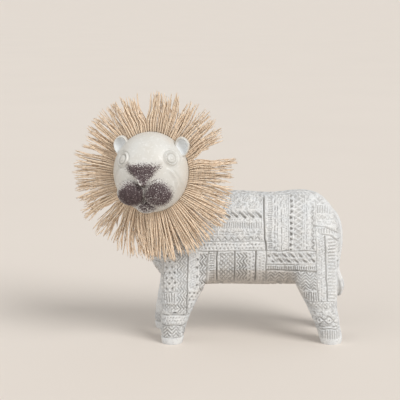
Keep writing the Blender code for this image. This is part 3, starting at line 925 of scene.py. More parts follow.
def flank_places(points, far, outward):
    """Where the points lie in the flank's layout, and whether each one is on a leg."""
    x, y, z = points.T
    mirrored = points.copy()
    mirrored[:, 1] = -np.abs(y)
    is_front = x < LEG_PARTING
    shares = np.interp(z, [20.0, 38.0, 57.0, 70.0], [1.0, 0.6, 0.2, 0.0])
    moved = np.where(is_front, FAR_FRONT_LEG_SHIFT, FAR_REAR_LEG_SHIFT) * shares
    mirrored[:, 0] -= np.where(far, moved, 0.0)
    u, v = photo_place(mirrored)

    # Round a leg, the bands run on along its girth
    level = points.copy()
    level[:, 1] = -LEG_SIDE - LEG_FACE
    level_v = photo_place(level)[1]
    front_middle, front_half = leg_middle(FRONT_LEG_LEVELS, z)
    rear_middle, rear_half = leg_middle(REAR_LEG_LEVELS, z)
    middle = np.where(is_front, front_middle, rear_middle)
    half = np.where(is_front, front_half, rear_half)
    side = mirrored[:, 1] + LEG_SIDE
    turn = np.arctan2(mirrored[:, 0] - middle, -side * half / LEG_HALF_DEPTH)
    girth_u = FRAME_PIXELS / 2.0 - VIEW_TARGET.x + middle + half * turn
    on_leg = fall(z, LEG_TOP - 6.0, LEG_TOP + 4.0)
    on_girth = on_leg * fall(outward, 0.55, 0.75)
    u = u * (1.0 - on_girth) + girth_u * on_girth
    v = np.where(z < LEG_TOP + 10.0, v * (1.0 - on_girth) + level_v * on_girth, v)
    return u, v, on_leg


def flank_depth(points, far, outward):
    """The carving of both flanks and the legs, and the wear of the casting."""
    u, v, on_leg = flank_places(points, far, outward)
    low = fall(points[:, 2], 88.0, 96.0)
    on_side = np.maximum(rise(outward, 0.22 - 0.3 * low, 0.42 - 0.3 * low), on_leg)
    sideways = WAVER * (unevenness(u, v, WAVER_LENGTH, 4.0) - 0.5)
    down = WAVER * (unevenness(u, v, WAVER_LENGTH, 8.0) - 0.5)
    u, v = u + sideways, v + down
    near_depth = carve(u, v, FLANK_BANDS, FLANK_GROOVES)
    far_depth = carve(u, v, FLANK_BANDS, FLANK_GROOVES, FAR_PATTERNS)
    depth = np.where(far, far_depth, near_depth) * on_side

    # Small pits everywhere, and broader patches in which the carving is fainter
    pits = rise(unevenness(u, v, 1.5, 2.0), 0.58, 0.92)
    patches = unevenness(u, v, 9.0, 6.0)
    depth = depth * (0.82 + 0.3 * patches)
    return np.maximum(depth, 0.55 * pits * (0.6 + 0.6 * patches) * rise(outward, 0.0, 0.3))


def hidden_depth(points, normals, outward):
    """The carving over the back, down the rump beside the tail, and on the chest."""
    x, y, z = points.T
    across = np.abs(y)
    on_back = rise(normals[:, 2], 0.88, 0.95) * (z > 120.0) * rise(x, -12.0, -6.0)
    on_rump = rise(normals[:, 0], 0.74, 0.88) * fall(outward, 0.4, 0.55) * rise(across, 5.5, 7.0)
    on_chest = rise(-normals[:, 0], 0.62, 0.78)
    back = carve(x, across, BACK_BANDS, BACK_GROOVES)
    ends = carve(across, z, END_BANDS, END_GROOVES) * (z > 56.0)
    return np.maximum(back * on_back, ends * np.maximum(on_rump, on_chest))


def carved_share(points, normals):
    """0 on the neck, the tail, the belly and the rims of the feet, which stay plain, and 1 elsewhere."""
    x, y, z = points.T
    share = rise(z, 4.0, 7.0)
    share *= 1.0 - rise(-normals[:, 2], 0.72, 0.92) * (z > 30.0)
    on_tail = (x > 126.0) & (np.abs(y) < 6.5) & (z > 36.0)
    share *= np.where(on_tail, 0.0, 1.0)
    return share * (1.0 - rise(z, 149.0, 153.0) * (x < 20.0))


def carving_depth(points, normals):
    """How deep the carving is at each point of the body, from 0 to about 1.5."""
    x, y, z = points.T
    far = y > 0.0
    outward = -normals[:, 1] * np.where(far, -1.0, 1.0)
    depth = np.maximum(flank_depth(points, far, outward), hidden_depth(points, normals, outward))
    belly = rise(-normals[:, 2], 0.5, 0.8) * (z > 48.0) * (z < 62.0)
    lumps = rise(unevenness(x, y, 3.0, 3.0), 0.45, 0.75)
    return np.maximum(depth * carved_share(points, normals), 0.8 * lumps * belly)


def tuft_depth(points):
    """Locks that run down the tuft of the tail."""
    x, y, z = points.T
    on_tuft = (x > 124.0) & (np.abs(y) < 7.5) & (z < TUFT_TOP) & (z > 38.0)
    angle = np.arctan2(y, x - TUFT_MIDDLE)
    locks = 0.5 + 0.5 * np.cos(TUFT_LOCKS * angle + z * 0.16)
    return np.where(on_tuft, locks * fall(z, TUFT_TOP - 6.0, TUFT_TOP) * 0.6, 0.0)


def sharpen_soles(body):
    """Keeps the rim of each sole crisp."""
    flat = (face_normals(body)[:, 2] < -0.99) & (face_centres(body)[:, 2] < SHARE)
    select_faces(body, flat)
    bpy.ops.mesh.region_to_loop()
    bpy.ops.mesh.mark_sharp()
    bpy.ops.object.mode_set(mode="OBJECT")


def make_body(settings):
    body = body_form()
    unite(body, tail())
    refine_body(body)
    points, normals = coordinates(body), point_normals(body)
    depth = np.maximum(carving_depth(points, normals), tuft_depth(points))
    move_points(body, placed(points - normals * (depth * settings.carving_depth / SHARE)[:, None]))
    set_attribute(body, "carving", depth)
    # Painted warm shade, with light thrown up from the floor, under the belly and on the tops of the legs,
    # darkest where the surface faces down
    under = rise(-normals[:, 2], -0.1, 0.9) * (points[:, 2] > LEG_TOP) * (points[:, 2] < 75.0)
    set_attribute(body, "belly_shade", under * 0.75)
    finish_piece(body, BODY_NAME, "resin_lion", carved_resin(settings))
    sharpen_soles(body)


# The head with its ears


def ellipsoid_reach(ways, centre, radii):
    """How far along each way from the head's centre an ellipsoid reaches, 0 where it is missed."""
    scaled = ways / np.array(radii)
    offset = np.array(centre) / np.array(radii)
    a = (scaled**2).sum(1)
    b = -2.0 * scaled @ offset
    c = (offset**2).sum() - 1.0
    inside = b * b - 4.0 * a * c
    return np.where(inside > 0.0, (-b + np.sqrt(np.maximum(inside, 0.0))) / (2.0 * a), 0.0)


def blend_up(first, second, width):
    """The larger of two values, rounded where they meet."""
    near = np.maximum(width - np.abs(first - second), 0.0) / width
    return np.maximum(first, second) + near * near * width / 4.0


def blend_down(first, second, width):
    return -blend_up(-first, -second, width)


def nose_reach(ways):
    """How far along each way the blunt wedge of the nose reaches."""
    far = 400.0
    reach = np.full(len(ways), far)
    top = Vector((NOSE_TOP_HALF * NOSE_FRONT_SHARE, -NOSE_TOP_DEPTH, NOSE_TOP))
    tip = Vector((NOSE_TIP_HALF * NOSE_FRONT_SHARE, -NOSE_DEPTH, NOSE_TIP))
    top_back = Vector((NOSE_TOP_HALF, -NOSE_BACK, NOSE_TOP))
    side = (tip - top).cross(top_back - top)
    side = side if side.x > 0.0 else -side
    planes = (
        (Vector((0.0, tip.z - top.z, top.y - tip.y)), top),
        (Vector((0.0, 0.0, 1.0)), top),
        (Vector((0.0, 0.0, -1.0)), tip),
        (side, top),
        (Vector((-side.x, side.y, side.z)), Vector((-top.x, top.y, top.z))),
    )
    for out, point in planes:
        out = out.normalized()
        out = out if out.dot(point) > 0.0 else -out
        facing = ways @ np.array(out)
        distance = np.where(facing > 1e-3, out.dot(point) / np.maximum(facing, 1e-3), far)
        reach = blend_down(reach, distance, 8.0)
    return np.where(ways[:, 1] < -0.3, reach, 0.0)


def on_ball(x, z):
    """The point of the head's front at this x and z."""
    rx, ry, rz = HEAD_RADII
    return np.array((x, -ry * math.sqrt(1.0 - (x / rx) ** 2 - (z / rz) ** 2), z))


def eye_marks(points):
    """For each eye, the distance from its centre and the turn from its outer side."""
    for side, away, height in zip((-1.0, 1.0), EYE_SIDES, EYE_HEIGHTS):
        offset = points - on_ball(away * side, height)
        reach = np.where(points[:, 1] < 0.0, np.linalg.norm(offset, axis=1), 100.0)
        yield reach, np.arctan2(offset[:, 2], offset[:, 0] * side)


def over_eye(turn):
    """1 over the upper outer side of an eye and 0 round the rest of it."""
    return rise(np.cos(turn - 0.75), 0.1, 0.7)


def eye_relief(points):
    """How far the eyes stand proud: a dome in a groove, a raised ring, a fine groove and the lid."""
    total = np.zeros(len(points))
    for reach, turn in eye_marks(points):
        total += EYE_DOME_HEIGHT * np.sqrt(np.maximum(1.0 - (reach / EYE_DOME) ** 2, 0.0))
        for away, half, soft, height in EYE_RINGS:
            total += height * line(reach - away, half, soft)
        total += line(reach - 8.9 - 1.2 * np.cos(turn - 0.6), 0.4, 0.6) * over_eye(turn)
    return total


def fold_distance(points):
    """How far each point lies, sideways, from the fold between the cheek and the muzzle."""
    x, y, z = points.T
    return np.abs(x) - np.interp(z, FOLD_HEIGHTS, FOLD_SIDES)


def fold_share(z):
    """1 at the heights of the fold, and 0 past its ends."""
    return rise(z, -17.0, -6.0) * fall(z, 3.0, 9.0)


def cheek_relief(points):
    """A raised fold from below each eye down to the jaw, and the cleft between the pads."""
    x, y, z = points.T
    fold = line(fold_distance(points), 0.6, 2.2) * fold_share(z)
    cleft = line(x, 0.3, 0.7) * fall(z, -8.5, -6.0) * rise(z, -29.0, -26.0)
    return np.where(y < -4.0, 1.9 * fold - 0.6 * cleft, 0.0)


def creases(points):
    """Where grey painted shade lies in the grooves of the eyes and beside the folds."""
    x, y, z = points.T
    total = np.zeros(len(points))
    for reach, turn in eye_marks(points):
        for away, half, soft, amount in EYE_GROOVE_SHADES:
            total = np.maximum(total, amount * line(reach - away, half, soft))
        above = line(reach - 10.2 - np.cos(turn), 0.3, 0.6) * over_eye(turn)
        below = line(reach - 8.6, 0.5, 0.8) * rise(-np.sin(turn), 0.3, 0.9)
        total = np.maximum(total, np.maximum(0.8 * above, 0.5 * below))
    beside = line(fold_distance(points) - 3.0, 0.6, 1.6) * fold_share(z)
    return np.maximum(total, np.where(y < -4.0, 0.55 * beside, 0.0))


def head_reach(ways):
    """How far along each way from its centre the head reaches."""
    ball = 1.0 / np.sqrt(((ways / np.array(HEAD_RADII)) ** 2).sum(1))
    reach = ball
    x, y, z = PAD_CENTRE
    for side in (-1.0, 1.0):
        reach = blend_up(reach, ellipsoid_reach(ways, (x * side, y, z), PAD_RADII), PAD_BLEND)
    reach = blend_up(reach, ellipsoid_reach(ways, CHIN_CENTRE, CHIN_RADII), CHIN_BLEND)
    reach = blend_up(reach, nose_reach(ways) + NOSE_LIFT, NOSE_BLEND)
    points = ways * ball[:, None]
    return reach + eye_relief(points) + cheek_relief(ways * reach[:, None])


def head_ball():
    """The head without its ears, from a cube that is spread over a ball and then drawn out."""
    deselect()
    bpy.ops.mesh.primitive_cube_add(size=2.0)
    ball = bpy.context.active_object
    bpy.ops.object.mode_set(mode="EDIT")
    bpy.ops.mesh.select_all(action="SELECT")
    bpy.ops.mesh.subdivide(number_cuts=HEAD_CUTS)
    bpy.ops.object.mode_set(mode="OBJECT")
    even = np.tan(coordinates(ball) * math.pi / 4.0)
    ways = even / np.linalg.norm(even, axis=1)[:, None]
    move_points(ball, ways)
    centres = face_centres(ball)
    subdivide(ball, centres[:, 1] < -0.33, 1)
    ways = coordinates(ball)
    ways /= np.linalg.norm(ways, axis=1)[:, None]
    move_points(ball, ways * head_reach(ways)[:, None])
    return ball


def ear(side):
    """A tall cup with a thick rim, open to the front."""
    deselect()
    bpy.ops.mesh.primitive_uv_sphere_add(segments=48, ring_count=36, radius=1.0)
    cup = bpy.context.active_object
    points = coordinates(cup)
    # The poles of the ball turn to front and back, and the front one sinks into the hollow
    x, y, z = points[:, 0], -points[:, 2], points[:, 1]
    away = np.arccos(np.clip(-y, -1.0, 1.0))
    radial = np.hypot(x, z)
    rim, widest = math.radians(50.0), math.pi / 2.0
    lip = (away >= rim) & (away < widest)
    spread = np.where(away < rim, 0.84 * (away / rim) ** 0.8, np.sin(away))
    spread = np.where(lip, np.interp(away, [rim, 1.15, widest], [0.84, 0.97, 1.0]), spread)
    depth = np.where(away < rim, -0.62 + 0.86 * (1.0 - (away / rim) ** 3.0), y)
    depth = np.where(lip, np.interp(away, [rim, 0.98, 1.2, widest], [-0.62, -0.70, -0.45, 0.0]), depth)
    factor = spread / np.maximum(radial, 1e-6)
    x, z = x * factor, z * factor
    # A teardrop: narrower towards the lower end, where the cup runs into the head
    x = x * (1.0 - EAR_TAPER * np.clip(0.3 - z, 0.0, 1.3))
    rx, ry, rz = EAR_RADII
    cx, cy, cz = EAR_CENTRE
    across = (cx + rx * x + EAR_LEAN * rz * z) * side + EAR_SHIFT
    move_points(cup, np.column_stack((across, cy + ry * depth, cz + rz * z)))
    select_faces(cup, np.ones(len(cup.data.polygons), dtype=bool))
    bpy.ops.mesh.normals_make_consistent(inside=False)
    bpy.ops.object.mode_set(mode="OBJECT")
    return cup


def paint_and_light_amount(points, sideways):
    """How thickly the muzzle's dark wash lies at each point, which is this far from the head's middle;
    thinner on the right of the nose as a painted highlight, thicker left of the cleft as painted shade.
    """
    u, v = photo_place(points)
    left = np.interp(v, NOSE_WASH_HEIGHTS, NOSE_WASH_LEFT)
    right = np.interp(v, NOSE_WASH_HEIGHTS, NOSE_WASH_RIGHT)
    total = rise(u - left, -3.0, 4.2) * rise(right - u, -3.4, 4.6)
    total = total * rise(v, 160.4, 168.4) * fall(v, 187.0, 191.0)
    # Thinner on the right of the nose: a painted highlight where the light falls
    total = total * (1.0 - 0.45 * rise(u, 148.0, 159.0))
    for centre_u, centre_v, width, height in PAD_WASHES:
        reach = np.hypot((u - centre_u) / width, (v - centre_v) / height)
        soft = 0.2 + 0.18 * rise(centre_v - v, -4.0, 6.0)
        total = np.maximum(total, smoothstep((1.08 - reach) / (2.0 * soft) + 0.12))
    chin = np.hypot((u - 147.0) / 12.0, (v - 207.6) / 7.0)
    total = np.maximum(total, 0.74 * fall(chin, 0.4, 1.2))
    spot = np.hypot((u - 146.3) / 2.8, (v - 204.6) / 2.1)
    total = np.maximum(total, fall(spot, 0.6, 1.2))
    cleft = np.interp(v, [185.6, 202.6], [144.0, 146.2])
    # Thicker left of the cleft, below the nose: painted shade on the left pad, away from the light
    total = np.minimum(total, 1.0) + 0.16 * total * rise(cleft - u, 1.0, 4.0) * rise(v, 186.0, 191.0)
    in_cleft = line(sideways, 0.3, 0.75) * rise(v, 187.0, 190.0) * fall(v, 201.5, 203.6)
    return total * (1.0 - 0.75 * in_cleft)


def make_head(settings):
    head = head_ball()
    for side in (-1.0, 1.0):
        unite(head, ear(side))
    local = coordinates(head)
    points = from_head(local)
    x, y, z = local.T
    set_attribute(head, "paint", np.where(y < -8.0, paint_and_light_amount(points, x), 0.0))
    # Grey painted shade in the grooves of the eyes and beside the folds
    set_attribute(head, "crease", creases(local))
    hollow = np.zeros(len(local))
    ear_x, ear_y, ear_z = EAR_CENTRE
    for side in (-1.0, 1.0):
        across = x - ear_x * side - EAR_SHIFT
        reach = np.hypot(across / EAR_RADII[0], (z - ear_z) / EAR_RADII[2])
        depth = (y - ear_y) / EAR_RADII[1]
        hollow = np.maximum(hollow, fall(reach, 0.7, 0.85) * (depth > -0.66) * (depth < 0.4))
    set_attribute(head, "hollow", hollow)
    # Tan painted shade on the right cheek, beside the mane
    set_attribute(head, "shade", rise(x, 24.0, 33.0) * fall(z, 4.0, 22.0) * (y < 4.0))
    move_points(head, placed(points))
    finish_piece(head, HEAD_NAME, "resin_lion", smooth_resin(settings))


# The mane and its binding


def head_surface(angle, y):
    """The radius of the head at this angle round the mane's middle, at depth y in the head's axes."""
    rx, ry, rz = HEAD_RADII
    shrink = np.sqrt(np.maximum(0.0, 1.0 - (y / ry) ** 2))
    a, b = rx * shrink, rz * shrink
    cx, cz = -MANE_MIDDLE[0], -MANE_MIDDLE[2]
    ux, uz = np.cos(angle), np.sin(angle)
    qa = (ux / a) ** 2 + (uz / b) ** 2
    qb = -2.0 * (cx * ux / a**2 + cz * uz / b**2)
    qc = (cx / a) ** 2 + (cz / b) ** 2 - 1.0
    return (-qb + np.sqrt(qb * qb - 4.0 * qa * qc)) / (2.0 * qa)


def strand_paths(chance, count, offset, root_low, root_high):
    """The middle line of each strand of one layer, in the head's axes, from root to tip."""
    step = 2.0 * math.pi / count
    angle = step * (np.arange(count) + offset + chance.uniform(-0.09, 0.09, count))
    root_y = chance.uniform(root_low, root_high, count)
    s = np.linspace(0.0, 1.0, STRAND_STATIONS)[None, :]

    # Strands gather in locks, and each lock has a length of its own
    place = angle / (2.0 * math.pi) * LOCKS + chance.uniform(-0.3, 0.3, count)
    lock = np.floor(place).astype(int) % LOCKS
    lock_angle = (lock + 0.5) * 2.0 * math.pi / LOCKS
    gather = (lock_angle - angle + math.pi) % (2.0 * math.pi) - math.pi
    lock_length = 0.95 + 0.08 * scattered(lock, 5.0)
    length = lock_length - 0.24 * chance.uniform(0.0, 1.0, count) ** 1.8
    swing = (scattered(lock, 9.0) - 0.5) * 0.06 + chance.normal(0.0, 0.028, count)

    turn = angle[:, None] + gather[:, None] * 0.26 * s**1.6 + swing[:, None] * s**1.5
    degrees = np.degrees(angle) % 360.0
    for middle, half, start in PARTINGS:
        away = (degrees - middle + 180.0) % 360.0 - 180.0
        push = np.sign(away) * half * np.exp(-((np.abs(away) / (half * 1.7)) ** 1.5))
        turn = turn + np.radians(push)[:, None] * smoothstep((s - start) / PARTING_RUN)
    turn = turn + np.radians(np.interp(degrees, FALL_ANGLES, FALL_TURNS))[:, None] * s**0.9

    depth = MANE_MIDDLE[1] + root_y[:, None] * (1.0 - s) ** 0.7
    depth = depth + chance.normal(0.0, 1.5, count)[:, None] * s
    inner = head_surface(angle, MANE_MIDDLE[1] + root_y) - 0.6
    reach = np.hypot(MANE_REACH * np.cos(angle), MANE_DROP * np.sin(angle)) * np.minimum(length, 1.02)
    radius = inner[:, None] + (reach - inner)[:, None] * s
    x = MANE_MIDDLE[0] + radius * np.cos(turn)
    z = MANE_MIDDLE[2] + radius * np.sin(turn)

    # Sideways ones sag a little, and the lower left ones are the most wavy
    sag = 2.2 * np.abs(np.cos(angle))
    z = z - sag[:, None] * s**2
    wavy = 1.0 + 1.3 * np.exp(-(((degrees - 222.0) / 18.0) ** 2))
    waver = (wavy * chance.uniform(0.2, 0.8, count))[:, None] * s
    phase = chance.uniform(0.0, 2.0 * math.pi, count)[:, None]
    rate = chance.uniform(5.0, 9.0, count)[:, None]
    side = waver * np.sin(phase + rate * s)
    x = x - side * np.sin(turn)
    z = z + side * np.cos(turn)
    depth = depth + waver * 0.8 * np.cos(phase + rate * s)
    return np.stack((x, depth, z), axis=2)


def twine(name, paths, radii, twist, points_around):
    """Closed strands of two plies that wind round each other, as one mesh with a UV map."""
    count, stations, _ = paths.shape
    along = np.gradient(paths, axis=1)
    along /= np.linalg.norm(along, axis=2)[:, :, None]
    side = np.cross(along, np.array((0.0, 1.0, 0.0)))
    side /= np.linalg.norm(side, axis=2)[:, :, None]
    other = np.cross(side, along)
    steps = np.linalg.norm(np.diff(paths, axis=1), axis=2)
    run = np.concatenate((np.zeros((count, 1)), np.cumsum(steps, axis=1)), axis=1)
    around = 2.0 * math.pi * np.arange(points_around) / points_around
    ply = 0.92 + 0.10 * np.cos(2.0 * around)
    turn = around[None, None, :] + run[:, :, None] * twist
    size = radii[:, :, None] * ply[None, None, :]
    rings = paths[:, :, None, :] + size[..., None] * (
        np.cos(turn)[..., None] * side[:, :, None, :] + np.sin(turn)[..., None] * other[:, :, None, :]
    )
    points = rings.reshape(-1, 3)

    index = np.arange(count * stations * points_around).reshape(count, stations, points_around)
    ahead = np.roll(index, -1, axis=2)
    quads = np.stack((index[:, :-1], ahead[:, :-1], ahead[:, 1:], index[:, 1:]), axis=-1).reshape(-1, 4)
    made = bpy.data.meshes.new(name)
    caps = np.concatenate((index[:, 0, ::-1], index[:, -1, :]), axis=0)
    loops = np.concatenate((quads.ravel(), caps.ravel()))
    sizes = np.concatenate((np.full(len(quads), 4), np.full(len(caps), points_around)))
    made.vertices.add(len(points))
    made.vertices.foreach_set("co", placed(from_head(points)).ravel())
    made.loops.add(len(loops))
    made.loops.foreach_set("vertex_index", loops.astype(np.int32))
    made.polygons.add(len(sizes))
    starts = np.concatenate(([0], np.cumsum(sizes)[:-1]))
    made.polygons.foreach_set("loop_start", starts.astype(np.int32))
    made.update(calc_edges=True)

    # Across the map lies the way round the strand, and along it the way to its tip, in twine turns
    turn_share = np.broadcast_to(np.arange(points_around) / points_around, (count, stations, points_around))
    run_share = np.broadcast_to((run * twist / (2.0 * math.pi))[:, :, None], turn_share.shape)
    corner_u = turn_share.ravel()[loops].copy()
    quad_u = corner_u[: quads.size].reshape(-1, 4)
    quad_u[quad_u[:, 0] > quad_u[:, 1], 1:3] += 1.0
    corner_u[: quads.size] = quad_u.ravel()
    uv = np.column_stack((corner_u, run_share.ravel()[loops]))
    made.uv_layers.new(name="twist").data.foreach_set("uv", uv.ravel())
    return add_object(name, made)


def mane_part(name, settings, seed, layers, root_low, root_high, surface):
    """Part of the mane: several layers of strands, from front to back."""
    chance = np.random.default_rng(seed)
    count = settings.strands_per_layer
    step = (root_high - root_low) / layers
    s = np.linspace(0.0, 1.0, STRAND_STATIONS)
    taper = 1.0 - 0.26 * s**2 - 0.35 * rise(s, 0.93, 1.0)
    paths, radii, tones = [], [], []
    for layer in range(layers):
        low = root_low + step * layer
        paths.append(strand_paths(chance, count, layer * 0.5, low, low + step))
        width = settings.strand_thickness / SHARE / 2.0 * chance.uniform(0.84, 1.14, count)
        radii.append(width[:, None] * taper[None, :])
        tones.append(np.clip(chance.normal(0.5, 0.22, count), 0.0, 1.0))
    paths, radii, tones = np.concatenate(paths), np.concatenate(radii), np.concatenate(tones)
    thing = twine(name, paths, radii, STRAND_TWIST, STRAND_POINTS)
    set_attribute(thing, "tone", np.repeat(tones, STRAND_STATIONS * STRAND_POINTS))
    set_attribute(thing, "reach", np.tile(np.repeat(s, STRAND_POINTS), len(paths)))
    finish_piece(thing, name, "jute_mane", surface)


def make_mane(settings):
    surface = jute(settings)
    root = 2.0 * MANE_HALF_ROOT / len(MANE_PARTS)
    for i, (name, seed, layers) in enumerate(MANE_PARTS):
        low = -MANE_HALF_ROOT + root * i
        mane_part(name, settings, seed, layers, low, low + root, surface)


def make_binding(settings):
    """Turns of the same twine round the head, which hold the strands behind."""
    angle = np.linspace(0.0, 2.0 * math.pi, BINDING_STATIONS)
    paths, radii = [], []
    width = settings.strand_thickness / SHARE * 0.8
    for turn in range(BINDING_TURNS):
        y = MANE_MIDDLE[1] + MANE_HALF_ROOT + 0.5 + turn * width * 1.7
        radius = head_surface(angle, y) + width * 0.8
        x = MANE_MIDDLE[0] + radius * np.cos(angle)
        z = MANE_MIDDLE[2] + radius * np.sin(angle)
        paths.append(np.column_stack((x, np.full(BINDING_STATIONS, y), z)))
        radii.append(np.full(BINDING_STATIONS, width))
    thing = twine("mane_binding", np.array(paths), np.array(radii), BINDING_TWIST, BINDING_POINTS)
    set_attribute(thing, "tone", np.full(len(thing.data.vertices), 0.45))
    set_attribute(thing, "reach", np.full(len(thing.data.vertices), 0.4))
    finish_piece(thing, "mane_binding", "jute_mane", jute(settings))


# The surfaces


def new_material(name, specular, roughness=0.5):
    """A material, its nodes and the inputs of its shader."""
    made = bpy.data.materials.new(name)
    made.use_nodes = True
    shader = made.node_tree.nodes["Principled BSDF"]
    shader.inputs["Specular IOR Level"].default_value = specular
    shader.inputs["Roughness"].default_value = roughness
    return made, made.node_tree, shader.inputs


def feed(tree, socket, value):
    """Links this input to another node's output, or sets it to a value or colour."""
    if isinstance(value, bpy.types.NodeSocket):
        tree.links.new(value, socket)
    elif socket.type == "RGBA":
        socket.default_value = (*value, 1.0)
    else:
        socket.default_value = value


def add_node(tree, kind, inputs=None, **values):
    """A node with these settings and inputs."""
    made = tree.nodes.new(kind)
    for name, value in values.items():
        setattr(made, name, value)
    for name, value in (inputs or {}).items():
        feed(tree, made.inputs[name], value)
    return made


def mixed(tree, factor, first, second):
    """The first colour, and as much of the second as the factor says."""
    inputs = {0: factor, 6: first, 7: second}
    return add_node(tree, "ShaderNodeMix", inputs, data_type="RGBA").outputs[2]


def calculated(tree, operation, first, second=0.0, clamp=False):
    inputs = {0: first, 1: second}
    return add_node(tree, "ShaderNodeMath", inputs, operation=operation, use_clamp=clamp).outputs[0]


def times(tree, value, factor):
    return calculated(tree, "MULTIPLY", value, factor)


def ranged(tree, value, low, high, to_low=0.0, to_high=1.0):
    inputs = {"Value": value, "From Min": low, "From Max": high, "To Min": to_low, "To Max": to_high}
    return add_node(tree, "ShaderNodeMapRange", inputs, clamp=True).outputs[0]


def noise(tree, place, scale, detail=2.0):
    inputs = {"Vector": place, "Scale": scale, "Detail": detail}
    return add_node(tree, "ShaderNodeTexNoise", inputs).outputs[0]


def object_place(tree):
    return add_node(tree, "ShaderNodeTexCoord").outputs["Object"]


def attribute_value(tree, name):
    return add_node(tree, "ShaderNodeAttribute", attribute_name=name).outputs["Fac"]


def grain_group():
    """Cast grain: broad blotches, fine specks and a height, from Object coordinates."""
    name = "Cast grain"
    if name in bpy.data.node_groups:
        return bpy.data.node_groups[name]
    group = bpy.data.node_groups.new(name, "ShaderNodeTree")
    for label in ("Blotch scale", "Speck scale"):
        group.interface.new_socket(label, in_out="INPUT", socket_type="NodeSocketFloat")
    for label in ("Blotches", "Specks", "Height"):
        group.interface.new_socket(label, in_out="OUTPUT", socket_type="NodeSocketFloat")
    entry = group.nodes.new("NodeGroupInput")
    leave = group.nodes.new("NodeGroupOutput")
    place = object_place(group)
    blotches = noise(group, place, entry.outputs["Blotch scale"], 3.0)
    fine = noise(group, place, entry.outputs["Speck scale"], 2.0)
    specks = ranged(group, fine, 0.56, 0.68)
    group.links.new(ranged(group, blotches, 0.35, 0.65), leave.inputs["Blotches"])
    group.links.new(specks, leave.inputs["Specks"])
    group.links.new(calculated(group, "SUBTRACT", fine, specks), leave.inputs["Height"])
    return group


def grain(tree, blotch_scale, speck_scale):
    scales = {"Blotch scale": blotch_scale, "Speck scale": speck_scale}
    return add_node(tree, "ShaderNodeGroup", scales, node_tree=grain_group()).outputs


def bump(tree, height, distance, strength):
    inputs = {"Height": height, "Distance": distance, "Strength": strength}
    return add_node(tree, "ShaderNodeBump", inputs).outputs[0]


def carved_resin(settings):
    """Chalky cast resin, with grey painted shade and some grime in the carving."""
    made, tree, shader = new_material("carved_resin", 0.3)
    casting = grain(tree, 90.0, 950.0)
    pale = mixed(tree, casting["Blotches"], settings.body_colour, settings.body_cool_colour)
    # Painted warm shade under the belly
    shaded = mixed(tree, attribute_value(tree, "belly_shade"), pale, settings.belly_shade_colour)
    # Grey painted shade in the carving, partly grime, stronger where it is cut deeper; the specks are pits
    # of the casting
    groove_shade_and_grime = ranged(tree, attribute_value(tree, "carving"), 0.10, 1.1)
    wash = calculated(tree, "MAXIMUM", groove_shade_and_grime, times(tree, casting["Specks"], 0.4), True)
    feed(tree, shader["Base Color"], mixed(tree, wash, shaded, settings.groove_shade_and_grime_colour))
    feed(tree, shader["Roughness"], ranged(tree, casting["Blotches"], 0.0, 1.0, 0.72, 0.86))
    feed(tree, shader["Normal"], bump(tree, casting["Height"], 0.0006, 0.8))
    return made


def smooth_resin(settings):
    """Satin cream resin, its muzzle stippled with a dark wash."""
    made, tree, shader = new_material("smooth_resin", 0.45)
    casting = grain(tree, 60.0, 420.0)
    cream = mixed(tree, casting["Blotches"], settings.head_colour, settings.head_warm_colour)
    cream = mixed(tree, times(tree, casting["Specks"], 0.45), cream, settings.fleck_colour)
    # Tan painted shade on the right cheek, grey painted shade in the creases, and the bluish white of the
    # ear hollows
    for name, share, wash in (
        ("shade", 0.2, settings.cheek_shade_colour),
        ("crease", 0.95, settings.crease_shade_colour),
        ("hollow", 1.0, settings.ear_colour),
    ):
        cream = mixed(tree, times(tree, attribute_value(tree, name), share), cream, wash)

    # Dabs of wash cover more, and darken, where the paint lies thicker
    # The wash also carries a painted highlight on the nose and painted shade on the left pad
    paint = attribute_value(tree, "paint")
    stipple = noise(tree, object_place(tree), 1150.0)
    dabs = times(tree, calculated(tree, "SUBTRACT", stipple, 0.5), 3.0)
    level = calculated(tree, "ADD", paint, dabs)
    edge = ranged(tree, paint, 0.02, 0.12)
    cover = calculated(tree, "MULTIPLY", ranged(tree, level, 0.36, 0.70), edge, True)
    thickness = ranged(tree, level, 0.45, 1.25)
    dark = mixed(tree, thickness, settings.muzzle_light_colour, settings.muzzle_colour)
    feed(tree, shader["Base Color"], mixed(tree, cover, cream, dark))
    feed(tree, shader["Roughness"], ranged(tree, cover, 0.0, 1.0, 0.42, 0.7))
    feed(tree, shader["Normal"], bump(tree, casting["Height"], 0.0005, 0.18))
    return made


def jute(settings):
    """Dry bast fibre, each strand a little lighter or darker, its plies marked by the twist, with painted
    shade between the plies and at the roots.
    """
    name = "jute_twine"
    if name in bpy.data.materials:
        return bpy.data.materials[name]
    made, tree, shader = new_material(name, 0.2, 0.85)
    place = object_place(tree)
    twist = add_node(tree, "ShaderNodeUVMap", uv_map="twist").outputs[0]
    around = add_node(tree, "ShaderNodeSeparateXYZ", {"Vector": twist}).outputs["X"]

    # Two plies go round the strand, so the valley between them comes twice in each turn
    valley = calculated(tree, "COSINE", times(tree, around, 4.0 * math.pi))
    gap = ranged(tree, valley, -1.0, -0.2, 1.0, 0.0)
    fibres = noise(tree, place, 1600.0)
    uneven = times(tree, noise(tree, place, 160.0), 0.9)
    tone = calculated(tree, "ADD", attribute_value(tree, "tone"), uneven)
    base = mixed(tree, ranged(tree, tone, 0.45, 1.45), settings.jute_dark_colour, settings.jute_light_colour)
    lit = mixed(tree, ranged(tree, fibres, 0.35, 0.7), base, settings.jute_pale_colour)
    base = mixed(tree, 0.4, base, lit)
    # Painted shade in the valleys between the plies
    grooved = mixed(tree, times(tree, gap, 0.25), base, settings.jute_shade_colour)
    # Painted shade at the roots of the strands, where they crowd together
    depth = ranged(tree, attribute_value(tree, "reach"), 0.0, 0.2, 0.2, 0.0)
    feed(tree, shader["Base Color"], mixed(tree, depth, grooved, settings.jute_shade_colour))
    feed(tree, shader["Normal"], bump(tree, calculated(tree, "SUBTRACT", fibres, gap), 0.0003, 0.6))
    return made


# The stage


